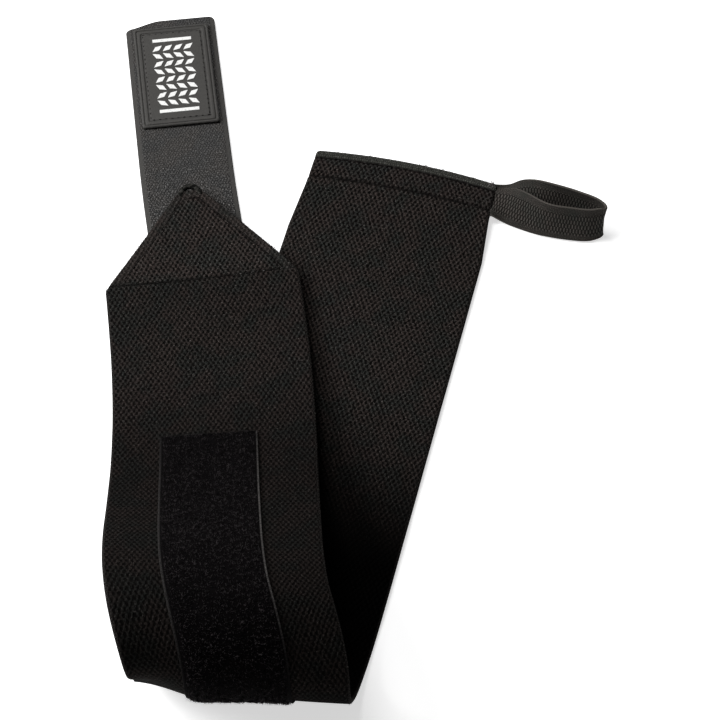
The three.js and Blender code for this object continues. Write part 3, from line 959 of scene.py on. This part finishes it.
field_reach = STRAP_WIDTH / 2 - STRAP_SELVAGE - 0.6 * MM
hook_right = np.arange(-field_reach, field_reach, HOOK_PITCH[0])
hook_along = np.arange(STRAP_START + 2 * MM, STRAP_END - 4 * MM, HOOK_PITCH[1])
spot_along, spot_right = (v.reshape(-1, 1) for v in np.meshgrid(hook_along, hook_right))
under = strap_faces(spot_along, spot_right)[1]
hand = np.where(np.round(spot_along / HOOK_PITCH[1]) % 2 == 0, 1, -1)
points = strap_lay(spot_along + hook_points[None, :, 1], spot_right + hand * hook_points[None, :, 0],
                   under - 0.05 * MM + hook_points[None, :, 2])
faces = [[k + i * len(hook_points) for k in face] for i in range(len(spot_along)) for face in hook_faces]
strap_hooks = add_mesh("strap_hooks", points, faces)
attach(strap_hooks, "root")
print("hooks:", len(spot_along), "faces in all:", len(faces))

# %% [markdown]
# Loose threads make the wrap look used: small tufts stand out along the hem's roll, a few strands curl
# at the left shoulder and at the loop's root, and the pile sheds fluff over its edges. The pile's rim has
# four sides: 0 and 1 run along it, and 2 and 3 are its ends.

# %% Loose threads
def scatter_threads(name, along, right, faces, side, length, radius, bend, seed, lift):
    """Loose threads that grow from chosen places on a laid cloth and stand off its surface."""
    chance = np.random.default_rng(seed)
    depth = faces(along, right)[side]
    roots = on_fold(along, right, depth)
    sign = 1 if side else -1
    out = on_fold(along, right, depth + sign * MM) - roots
    headings = out / MM * lift + chance.normal(0, 0.6, out.shape)
    lengths = length * chance.uniform(0.5, 1.3, len(roots))
    return make_fibres(name, roots, headings, lengths, radius, bend, seed + 1, joints=5)


chance = np.random.default_rng(40)
TUFTS = (-0.42, 0.2, 0.38, 0.47, 0.72)
tuft_share = np.concatenate([chance.normal(t, 0.012, 9) for t in TUFTS] + [chance.uniform(-0.98, 0.98, 60)])
tuft_right = tuft_share * BAND_WIDTH / 2 * 0.97
hem_fuzz = scatter_threads("hem_fuzz", 0.3 * MM + 0 * tuft_right, tuft_right, band_faces, 1,
                           1.3 * MM, 0.07 * MM, 0.6, 41, 0.5)

shoulder_along = BAND_LENGTH + chance.normal(0, 1.2, 12) * MM
shoulder_right = -BAND_WIDTH / 2 * chance.uniform(0.97, 0.985, 12)
shoulder_fuzz = scatter_threads("shoulder_fuzz", shoulder_along, shoulder_right, band_faces, 0,
                                3.4 * MM, 0.08 * MM, 0.35, 43, 0.3)

SIDE_COUNT = 700
side_at = chance.uniform(20 * MM, BAND_LENGTH, SIDE_COUNT)
side_edge = np.where(chance.random(SIDE_COUNT) < 0.5, -1, 1) * BAND_WIDTH / 2 * 0.985
side_fuzz = scatter_threads("side_fuzz", side_at, side_edge, band_faces, 0,
                            0.8 * MM, 0.05 * MM, 0.7, 45, 0.2)

POINT_COUNT = 260
tip_along = chance.uniform(BAND_LENGTH + 4 * MM, TIP_AT - 5 * MM, POINT_COUNT)
tip_half = TIP_WIDTH / 2 + POINT_SLOPE * (TIP_AT - tip_along) - 0.5 * MM
tip_right = tip_half * np.where(chance.random(POINT_COUNT) < 0.5, -1, 1)
point_fuzz = scatter_threads("point_fuzz", tip_along, tip_right, band_faces, 0,
                             1.0 * MM, 0.05 * MM, 0.7, 47, 0.2)

ROOT_COUNT = 60
root_right = BAND_WIDTH / 2 * 0.945 - np.abs(chance.normal(0, 1.6, ROOT_COUNT)) * MM
root_fuzz = scatter_threads("root_fuzz", chance.uniform(0.6, 2.4, ROOT_COUNT) * MM, root_right, band_faces, 1,
                            1.9 * MM, 0.09 * MM, 0.6, 49, 0.35)

RIM_COUNT = 1300
rim_side = chance.choice(4, RIM_COUNT, p=(0.3, 0.3, 0.25, 0.15))
rim_at = chance.uniform(-1, 1, RIM_COUNT)
pile_mid, pile_reach = (PILE_TOP + PILE_BOTTOM) / 2, PILE_LENGTH / 2 - 0.4 * MM
rim_hand = np.where(rim_side % 2 == 0, 1, -1)
rim_along = pile_mid + np.where(rim_side < 2, rim_at, rim_hand) * pile_reach
rim_right = np.where(rim_side < 2, rim_hand, rim_at) * field_half
pile_fluff = scatter_threads("pile_fluff", rim_along, rim_right + pile_middle(rim_along), pile_faces, 0,
                             2.0 * MM, 0.06 * MM, 0.8, 51, 0.5)
print("loose threads:", len(tuft_right) + len(shoulder_right) + SIDE_COUNT + POINT_COUNT + ROOT_COUNT)

# %% [markdown]
# Now the finishes. The picture is shown with plain contrast, as the white table should stay white. Every
# cloth material reads the flat UV map, so the weave runs straight along each tape whatever its folds.
#
# A finish is mostly sums: this much of one pattern, less that much of another. So each output of a node
# is kept as a signal, on which plus, minus, times and divide add the node that does the sum.

# %% Signals
bpy.context.scene.view_settings.view_transform = "Standard"


class Signal:
    """What a socket gives. Sums with it add maths nodes to its node tree."""

    def __init__(self, socket):
        self.socket = socket
        self.tree = socket.id_data

    def __add__(self, other):
        return maths("ADD", self, other)

    def __sub__(self, other):
        return maths("SUBTRACT", self, other)

    def __rsub__(self, other):
        return maths("SUBTRACT", other, self)

    def __mul__(self, other):
        return maths("MULTIPLY", self, other)

    def __truediv__(self, other):
        return maths("DIVIDE", self, other)


def feed(socket, value):
    """Links a signal to a socket, or sets the socket's own value."""
    if isinstance(value, Signal):
        value.tree.links.new(value.socket, socket)
    elif isinstance(value, tuple) and len(socket.default_value) == 4:
        socket.default_value = (*value, 1)
    else:
        socket.default_value = value


def add_node(tree, kind, values, output=0, **settings):
    """Adds a node, feeds its inputs, and gives one of its outputs as a signal."""
    node = tree.nodes.new(kind)
    for name, value in settings.items():
        setattr(node, name, value)
    for name, value in values.items():
        feed(node.inputs[name], value)
    return Signal(node.outputs[output])


def join(kind, values, output=0, **settings):
    """Adds a node to the tree of the first signal among its values."""
    tree = next(v.tree for v in values.values() if isinstance(v, Signal))
    return add_node(tree, kind, values, output, **settings)


def maths(operation, *values):
    return join("ShaderNodeMath", dict(enumerate(values)), operation=operation)


def size_of(value):
    return maths("ABSOLUTE", value)


print("view:", bpy.context.scene.view_settings.view_transform)

# %% Helpers for materials
def fade(value, low, high):
    """0 below low and 1 above high, with a soft step between; high may be the smaller one."""
    limits = {"Value": value, "From Min": low, "From Max": high}
    return join("ShaderNodeMapRange", limits, interpolation_type="SMOOTHSTEP")


def rise_and_fall(value, run):
    """Rises over the first two places of the run and falls over the last two."""
    return fade(value, run[0], run[1]) * fade(value, run[3], run[2])


def mix_value(share, first, second):
    return join("ShaderNodeMix", {0: share, 2: first, 3: second}, data_type="FLOAT")


def mix_colour(share, first, second, blend="MIX"):
    return join("ShaderNodeMix", {0: share, 6: first, 7: second}, 2, data_type="RGBA", blend_type=blend)


def darken(colour, level):
    """The colour times a level, which is turned into a grey for it."""
    grey = join("ShaderNodeCombineColor", {0: level, 1: level, 2: level})
    return mix_colour(1.0, colour, grey, "MULTIPLY")


def noise(place, scale, detail=2.0, output="Fac"):
    return join("ShaderNodeTexNoise", {"Vector": place, "Scale": scale, "Detail": detail}, output)


def vector_maths(operation, values, output=0):
    return join("ShaderNodeVectorMath", values, output, operation=operation)


def split(place):
    """The three parts of a place."""
    node = place.tree.nodes.new("ShaderNodeSeparateXYZ")
    feed(node.inputs[0], place)
    return [Signal(part) for part in node.outputs]


def flat_place(tree):
    """The place on the flat cloth in mm: right, along."""
    place = add_node(tree, "ShaderNodeUVMap", {}, uv_map="flat")
    return vector_maths("SCALE", {0: place, "Scale": 1000.0})


def start_group(name, inputs, outputs):
    """A node group with named sockets; gives it, the signals that it gets and the sockets that it fills."""
    group = bpy.data.node_groups.new(name, "ShaderNodeTree")
    for title, kind, value in inputs:
        socket = group.interface.new_socket(title, in_out="INPUT", socket_type="NodeSocket" + kind)
        if value is not None:
            socket.default_value = value
    for title, kind in outputs:
        group.interface.new_socket(title, in_out="OUTPUT", socket_type="NodeSocket" + kind)
    given = {s.name: Signal(s) for s in group.nodes.new("NodeGroupInput").outputs if s.name}
    return group, given, group.nodes.new("NodeGroupOutput").inputs


def put(place, group, **values):
    """Puts a group into the tree of the place, and gives its outputs by name."""
    node = place.tree.nodes.new("ShaderNodeGroup")
    node.node_tree = group
    for name, value in {"Place": place, **values}.items():
        feed(node.inputs[name], value)
    return {s.name: Signal(s) for s in node.outputs}


def start_material(name, roughness, specular):
    """A material with its constant values on the shader; gives it and its node tree."""
    material = bpy.data.materials.new(name)
    material.use_nodes = True
    shader = material.node_tree.nodes["Principled BSDF"]
    shader.inputs["Roughness"].default_value = roughness
    shader.inputs["Specular IOR Level"].default_value = specular
    return material, material.node_tree


def end_material(material, colour, height, depth):
    """Feeds the shader its colour, and a height from 0 to 1 as relief of the given depth in metres."""
    shader = material.node_tree.nodes["Principled BSDF"]
    feed(shader.inputs["Base Color"], colour)
    relief = {"Height": height, "Distance": depth, "Strength": 1.0}
    feed(shader.inputs["Normal"], join("ShaderNodeBump", relief))
    return material


def wear(piece, material):
    piece.data.materials.clear()
    piece.data.materials.append(material)


print("helpers for materials are ready")

# %% [markdown]
# Woven elastic shows small cells of yarn in slanting rows, two millimetres apart, with dark pits between
# them. Two waves that cross add up to such a net: a cell stands where their crests meet and a pit
# where their troughs do. The strap's pebbled backing has a third wave, which makes the cells rounder.
# A slow noise moves the place a little first, so that the net wanders as real yarn does, and a
# quicker one makes some cells larger than others.

# %% Net of cells
NET_TURNS = (30, -30, 90)


def build_net():
    group, given, wanted = start_group("net_of_cells", [
        ("Place", "Vector", None),
        ("Spacing", "Float", 2.0),
        ("Wander", "Float", 0.3),
        ("Chance", "Float", 0.0),
        ("Roundness", "Float", 1.0),
    ], [("Height", "Float"), ("Pits", "Float")])
    place = given["Place"]
    drift = vector_maths("SUBTRACT", {0: noise(place, 0.55, 3, "Color"), 1: (0.5, 0.5, 0.5)})
    drift = vector_maths("SCALE", {0: drift, "Scale": given["Wander"]})
    moved = vector_maths("ADD", {0: place, 1: drift})
    rate = maths("DIVIDE", 2 * math.pi / math.cos(math.radians(30)), given["Spacing"])
    waves = []
    for turn in NET_TURNS:
        heading = (math.cos(math.radians(turn)), math.sin(math.radians(turn)), 0)
        along_it = vector_maths("DOT_PRODUCT", {0: moved, 1: heading}, "Value")
        waves.append(maths("COSINE", along_it * rate))
    uneven = (noise(place, 1.25, 2) - 0.5) * given["Chance"]
    total = waves[0] + waves[1] + waves[2] * given["Roundness"] + uneven
    feed(wanted["Height"], fade(total, -1.5, 1.6))
    feed(wanted["Pits"], fade(total, 0.5, -1.2))
    return group


net_group = build_net()
print("waves in the net:", len(NET_TURNS))

# %% [markdown]
# Yarn is hairy. Two fine noises, one stretched along the yarn, give the small uneven height and the
# mask for painted glints, where a fibre would catch the light. Wide patches drift between a brown and a
# green black, as worn black cloth does.

# %% Yarn and tint groups
def build_yarn():
    group, given, wanted = start_group("yarn", [
        ("Place", "Vector", None),
        ("Grain", "Float", 1.6),
    ], [("Height", "Float"), ("Glints", "Float"), ("Unevenness", "Float")])
    place, grain = given["Place"], given["Grain"]
    fine = noise(place, grain, 3)
    drawn = noise(vector_maths("MULTIPLY", {0: place, 1: (1, 0.35, 1)}), grain * 2.2, 2)
    feed(wanted["Height"], (fine + drawn) * 0.5)
    # the mask of painted glints on fibres
    feed(wanted["Glints"], fade(drawn, 0.55, 0.72))
    feed(wanted["Unevenness"], fade(fine, 0.35, 0.65))
    return group


def build_tint():
    group, given, wanted = start_group("worn_black", [
        ("Place", "Vector", None),
        ("Brown", "Color", None),
        ("Green", "Color", None),
    ], [("Colour", "Color")])
    patches = fade(noise(given["Place"], 0.075, 4), 0.43, 0.6)
    small = fade(noise(given["Place"], 0.5, 3), 0.42, 0.64)
    share = small * 0.3 + patches * 0.7
    feed(wanted["Colour"], mix_colour(share, given["Brown"], given["Green"]))
    return group


yarn_group = build_yarn()
tint_group = build_tint()
print("groups:", [g.name for g in bpy.data.node_groups])

# %% [markdown]
# The band's cloth puts these together. Pits are almost black, and the yarn between them is a warm dark
# grey. The hem's roll shows the fine greenish back of the cloth, and the point's folded edges are
# smoother and paler, outside their seam. Shade is painted into the cloth's colour: towards the bend and
# in the hollow inside it, where little light comes in, and in the dips along the seams.

# %% Band elastic
BROWN_YARN = (0.036, 0.0287, 0.0262)
GREEN_YARN = (0.0225, 0.0242, 0.0225)
# colour of the painted glints on the band's fibres
PAINTED_GLINT = (0.18, 0.163, 0.153)
# near-black of the weave's pits, also used for the painted shade in the seam dips
PIT_AND_SEAM_SHADE = (0.0025, 0.0022, 0.0021)
# the near-black that the painted shade towards the bend mixes in
PAINTED_SHADE_BLACK = (0.0006, 0.0005, 0.0005)
HEM_BACK = (0.1, 0.101, 0.09)
EDGE_YARN = (0.034, 0.031, 0.029)
# where shade is painted into the cloth's colour, in mm from the hem
BEND_SHADE = (95.0, 190.0, 390.0, 470.0)
HOLLOW_SHADE = (130.0, 215.0, 255.0, 285.0)
FLAP_SHADE = (380.0, 430.0)
# soft steps, in mm from the hem, and then in mm from the cloth's edge
HEM_BACK_END = (4.2, 3.8)
POINT_FROM = (503.0, 504.0)
POINT_EDGE = (4.4, 3.7)
BAND_SELVAGE = (1.1, 0.7)


def band_yarn(place, yarn, along, on_point):
    """The yarn's colour: tinted, uneven, with painted glints on some fibres, and painted shade towards the
    bend.
    """
    tint = put(place, tint_group, Brown=BROWN_YARN, Green=GREEN_YARN)["Colour"]
    uneven = (yarn["Unevenness"] * 0.8 + 0.5) * (noise(place, 0.9, 3) * 1.6 + 0.2)
    # painted glints: some fibres are painted bright, as if catching the light
    glint = yarn["Glints"] * fade(noise(place, 1.4, 2), 0.46, 0.62)
    cloth = mix_colour(glint * 0.9, darken(tint, uneven), PAINTED_GLINT)
    off_point = 1.0 - on_point
    # painted shade: towards the bend, in the hollow and on the flap from 380 mm; the band off the point is a
    # little darker all over
    dark = rise_and_fall(along, BEND_SHADE) * 0.5 + rise_and_fall(along, HOLLOW_SHADE) * 0.45
    dark = dark + off_point * 0.13 + fade(along, *FLAP_SHADE) * off_point * 0.12
    return mix_colour(dark, cloth, PAINTED_SHADE_BLACK)


def painted_seam_shade(place, edge, on_point):
    """Painted shade in the dips along the seams: across the hem, along the point's base, inside its edges."""
    across, along, _ = split(place)
    bow = maths("COSINE", across * (math.pi * MM / BAND_WIDTH))
    base = along + (bow * (BASE_BOW / MM) - BASE_SEAM / MM)
    sides = (edge / SLANT - POINT_MARGIN / MM) * 1.5 + (9.0 - on_point * 9.0)
    sides = size_of(sides) + fade(across, 2.0, -2.0) * 0.35
    nearest = size_of(base)
    for gap in (sides, *[along - seam / MM for seam in HEM_SEAMS]):
        nearest = maths("MINIMUM", nearest, size_of(gap))
    return fade(nearest, 0.95, 0.25) * (noise(place, 0.4, 2) * 0.9 + 0.35)


def band_material():
    material, tree = start_material("band_elastic", 0.9, 0.012)
    place = flat_place(tree)
    along = split(place)[1]
    edge = add_node(tree, "ShaderNodeAttribute", {}, "Fac", attribute_name="edge") * 1000.0
    net = put(place, net_group, Spacing=2.0, Wander=1.0, Chance=5.0, Roundness=0.0)
    fine_net = put(place, net_group, Spacing=0.95, Wander=0.2)
    yarn = put(place, yarn_group, Grain=1.7)

    on_hem = fade(along, *HEM_BACK_END)
    on_point = fade(along, *POINT_FROM)
    margin = fade(edge / SLANT, *POINT_EDGE) * on_point
    selvage = fade(edge, *BAND_SELVAGE) * (1.0 - on_point)
    plain = maths("MAXIMUM", selvage, on_hem)

    cloth = band_yarn(place, yarn, along, on_point)
    cloth = mix_colour(margin * 0.2, cloth, EDGE_YARN)
    cloth = mix_colour(selvage * 0.5, cloth, EDGE_YARN)
    hairy = noise(place, 1.1, 4) * 2.2 - 0.45
    cloth = mix_colour(on_hem * 0.92, cloth, darken(HEM_BACK, hairy))
    pits = net["Pits"] * (0.95 - margin * 0.3) * (noise(place, 0.35, 3) * 0.9 + 0.5)
    depth = mix_value(plain, pits, fine_net["Pits"] * 0.7)
    # the painted shade in the seam dips joins the pits here
    depth = maths("MAXIMUM", depth, painted_seam_shade(place, edge, on_point))
    height = mix_value(plain, net["Height"], fine_net["Height"] * 0.5)
    return end_material(material, mix_colour(depth, cloth, PIT_AND_SEAM_SHADE), yarn["Height"] * 0.6 + height, 0.35 * MM)


band_cloth = band_material()
wear(band, band_cloth)
print("band material nodes:", len(band_cloth.node_tree.nodes))

# %% [markdown]
# The thumb loop is knitted. Its middle field has rows of short upright ribs, each row shifted by half a
# rib against the next, with plain knit to either side and a light edge.

# %% Loop elastic
RIB_STEP = 1.3
RIB_ROW = 2.0
LOOP_YARN = (0.05, 0.0445, 0.04)
LOOP_GREEN = (0.038, 0.038, 0.034)
LOOP_EDGE = (0.095, 0.086, 0.077)
# soft steps, in mm from the elastic's middle
RIB_FIELD = (5.2, 4.4)
LIGHT_EDGE = (7.2, 7.7)


def loop_material():
    material, tree = start_material("loop_elastic", 0.85, 0.06)
    place = flat_place(tree)
    across, along, _ = split(place)
    row = maths("FLOOR", across / RIB_ROW)
    shift = maths("PINGPONG", row, 1.0) * (RIB_STEP / 2)
    rib = maths("COSINE", (along + shift) * (2 * math.pi / RIB_STEP))
    row_cut = fade(size_of(across / RIB_ROW - row - 0.5), 0.5, 0.4)
    ribs = fade(rib, -0.5, 0.7) * row_cut
    field = fade(size_of(across + 0.3), *RIB_FIELD)
    edge = fade(size_of(across), *LIGHT_EDGE)
    fine_net = put(place, net_group, Spacing=0.8, Wander=0.2)
    yarn = put(place, yarn_group, Grain=2.2)
    tint = put(place, tint_group, Brown=LOOP_YARN, Green=LOOP_GREEN)["Colour"]
    level = mix_value(field, 1.0 - fine_net["Pits"] * 0.5, ribs * 1.15 + 0.3)
    level = level * (yarn["Unevenness"] * 0.65 + 0.6)
    colour = mix_colour(edge * 0.75, darken(tint, level), LOOP_EDGE)
    height = mix_value(field, fine_net["Height"] * 0.3, ribs)
    return end_material(material, colour, yarn["Height"] * 0.5 + height, 0.32 * MM)


wear(thumb_loop, loop_material())
print("loop rows in mm:", RIB_ROW, "ribs in mm:", RIB_STEP)

# %% [markdown]
# The strap's top is a pebbled backing: a finer, greyer net, with painted glints on its fibres; net and
# glints are livelier near the point. Its selvages are plain, and a little lighter, with fine ribs along them.

# %% Strap backing
STRAP_GREY = (0.051, 0.051, 0.051)
STRAP_WARM = (0.061, 0.057, 0.054)
# colour of the painted glints on the strap's fibres
STRAP_GLINT = (0.21, 0.205, 0.2)
STRAP_PIT = (0.009, 0.009, 0.009)
STRAP_EDGE = (0.062, 0.06, 0.057)
SELVAGE_RIB = 0.55
# soft steps, in mm from the band's hem and from the strap's middle
LIVELY_RUN = (580.0, 535.0)
PEBBLE_FIELD = (18.0, 17.6)


def strap_material():
    material, tree = start_material("strap_backing", 0.75, 0.08)
    place = flat_place(tree)
    across, along, _ = split(place)
    net = put(place, net_group, Spacing=1.3, Wander=2.0, Chance=5.0)
    yarn = put(place, yarn_group, Grain=1.2)
    tint = put(place, tint_group, Brown=STRAP_WARM, Green=STRAP_GREY)["Colour"]
    near_point = fade(along, *LIVELY_RUN)
    field = fade(size_of(across), *PEBBLE_FIELD)
    rib = maths("COSINE", across * (2 * math.pi / SELVAGE_RIB)) * 0.5 + 0.5
    pebble = mix_colour(net["Pits"] * (near_point * 0.3 + 0.6), tint, STRAP_PIT)
    # painted glints on the fibres, stronger near the point
    pebble = mix_colour(yarn["Glints"] * (near_point * 0.55 + 0.45), pebble, STRAP_GLINT)
    colour = mix_colour(field, mix_colour(rib * 0.3, STRAP_EDGE, STRAP_PIT), pebble)
    height = mix_value(field, rib * 0.25, net["Height"])
    return end_material(material, colour, yarn["Height"] * 0.6 + height, 0.25 * MM)


wear(strap, strap_material())
print("strap selvage in mm:", STRAP_SELVAGE / MM)

# %% [markdown]
# The pile's ground is a black tape whose selvages carry a painted highlight, stronger on the right than
# on the left, and weaker towards their ends. The fibres are black, some of them greyer than the rest,
# picked by a fine noise over the object. Threads take their tones in the same way.

# %% Pile
PILE_BLACK = (0.0032, 0.0028, 0.003)
PILE_GREY = (0.058, 0.051, 0.053)
PAINTED_SELVAGE_HIGHLIGHT = (0.095, 0.09, 0.087)
# soft steps for the painted highlight on the selvages, in mm from the tape's middle and along from the band's
# hem
LIT_SELVAGE = (18.1, 18.4)
LIT_LOWER = (280.0, 335.0)
LIT_UPPER = (430.0, 385.0)


def pile_ground_material():
    material, tree = start_material("pile_ground", 0.9, 0.02)
    place = flat_place(tree)
    across, along, _ = split(place)
    yarn = put(place, yarn_group, Grain=1.8)
    # painted highlight on the selvages
    selvage = fade(size_of(across), *LIT_SELVAGE) * mix_value(fade(across, -1.0, 1.0), 0.3, 1.0)
    selvage = selvage * fade(along, *LIT_LOWER) * mix_value(fade(along, *LIT_UPPER), 0.35, 1.0)
    lit = selvage * (yarn["Unevenness"] * 0.7 + 0.25)
    return end_material(material, mix_colour(lit, PILE_BLACK, PAINTED_SELVAGE_HIGHLIGHT), yarn["Height"], 0.3 * MM)


def fibre_material(name, dark, light, share_low, share_high, scale, roughness=0.8, specular=0.03):
    """Thread colour that drifts between two tones over the object."""
    material, tree = start_material(name, roughness, specular)
    place = add_node(tree, "ShaderNodeTexCoord", {}, "Object")
    colour = mix_colour(fade(noise(place, scale, 2), share_low, share_high), dark, light)
    return end_material(material, colour, noise(place, 4 * scale, 2), 0.1 * MM)


pile_black = fibre_material("pile_fibre", PILE_BLACK, PILE_GREY, 0.36, 0.76, 700)
wear(pile_ground, pile_ground_material())
wear(pile_fibres, pile_black)
wear(pile_fluff, pile_black)
print("pile fibres and loose fluff:", len(pile_fibres.data.polygons) + len(pile_fluff.data.polygons), "faces")

# %% [markdown]
# Threads: the seams are sewn in near-black thread, except for the paler run at the right shoulder and
# the tuft by the loop. The tip's binding is a darker, greener cord.

# %% Threads
# pieces, name, dark and light tone, the noise's limits and scale, and for nylon its gloss
THREADS = (
    ((*hem_stitches, *edge_stitches, base_dark, *label_stitches),
     ("dark_thread", (0.006, 0.005, 0.005), (0.024, 0.022, 0.021), 0.4, 0.7, 500)),
    ((base_pale,), ("pale_thread", (0.01, 0.009, 0.009), (0.1, 0.094, 0.09), 0.42, 0.66, 450)),
    ((hem_fuzz, shoulder_fuzz, side_fuzz, point_fuzz),
     ("fuzz_thread", (0.02, 0.019, 0.017), (0.08, 0.075, 0.068), 0.4, 0.7, 400)),
    ((root_fuzz,), ("light_thread", (0.1, 0.092, 0.09), (0.42, 0.39, 0.38), 0.35, 0.6, 500)),
    ((binding,), ("binding_cord", (0.004, 0.004, 0.0036), (0.034, 0.033, 0.03), 0.4, 0.66, 700)),
    ((strap_hooks,), ("hook_nylon", (0.012, 0.012, 0.012), (0.03, 0.03, 0.03), 0.4, 0.6, 300, 0.4, 0.3)),
)
for pieces, look in THREADS:
    thread = fibre_material(*look)
    for piece in pieces:
        wear(piece, thread)
print("thread materials:", len(THREADS))

# %% [markdown]
# Rubber is smooth but never clean: a fine grain, a faint sheen, and paler scuffs where the rim stands
# highest. The print is an off-white ink that is a little thin in places.

# %% Rubber and print
RUBBER = (0.036, 0.035, 0.033)
RUBBER_WORN = (0.07, 0.067, 0.063)
RUBBER_GRAIN = (0.018, 0.017, 0.016)
PRINT_WHITE = (0.78, 0.78, 0.77)
PRINT_THIN = (0.5, 0.5, 0.49)
RIM_HEIGHTS = (3.45, 3.75)  # mm above the table, where the scuffs start and are whole


def object_place(tree):
    """The place on the object in mm."""
    place = add_node(tree, "ShaderNodeTexCoord", {}, "Object")
    return vector_maths("SCALE", {0: place, "Scale": 1000.0})


def rubber_material():
    material, tree = start_material("label_rubber", 0.5, 0.15)
    place = object_place(tree)
    grain = noise(place, 2.6, 4)
    scuff = fade(noise(place, 0.5, 5), 0.5, 0.68)
    high = fade(split(place)[2], *RIM_HEIGHTS)
    worn = maths("MAXIMUM", scuff, high * 0.7) * 0.6
    colour = mix_colour(worn, RUBBER, RUBBER_WORN)
    colour = mix_colour(fade(grain, 0.5, 0.66) * 0.35, colour, RUBBER_GRAIN)
    feed(tree.nodes["Principled BSDF"].inputs["Roughness"], grain * 0.3 + 0.4)
    return end_material(material, colour, grain, 0.08 * MM)


def print_material():
    material, tree = start_material("label_print", 0.5, 0.3)
    place = object_place(tree)
    thin = fade(noise(place, 1.2, 4), 0.55, 0.7)
    return end_material(material, mix_colour(thin, PRINT_WHITE, PRINT_THIN), noise(place, 3.0, 3), 0.05 * MM)


wear(label, rubber_material())
wear(label_print, print_material())
print("materials:", len(bpy.data.materials))
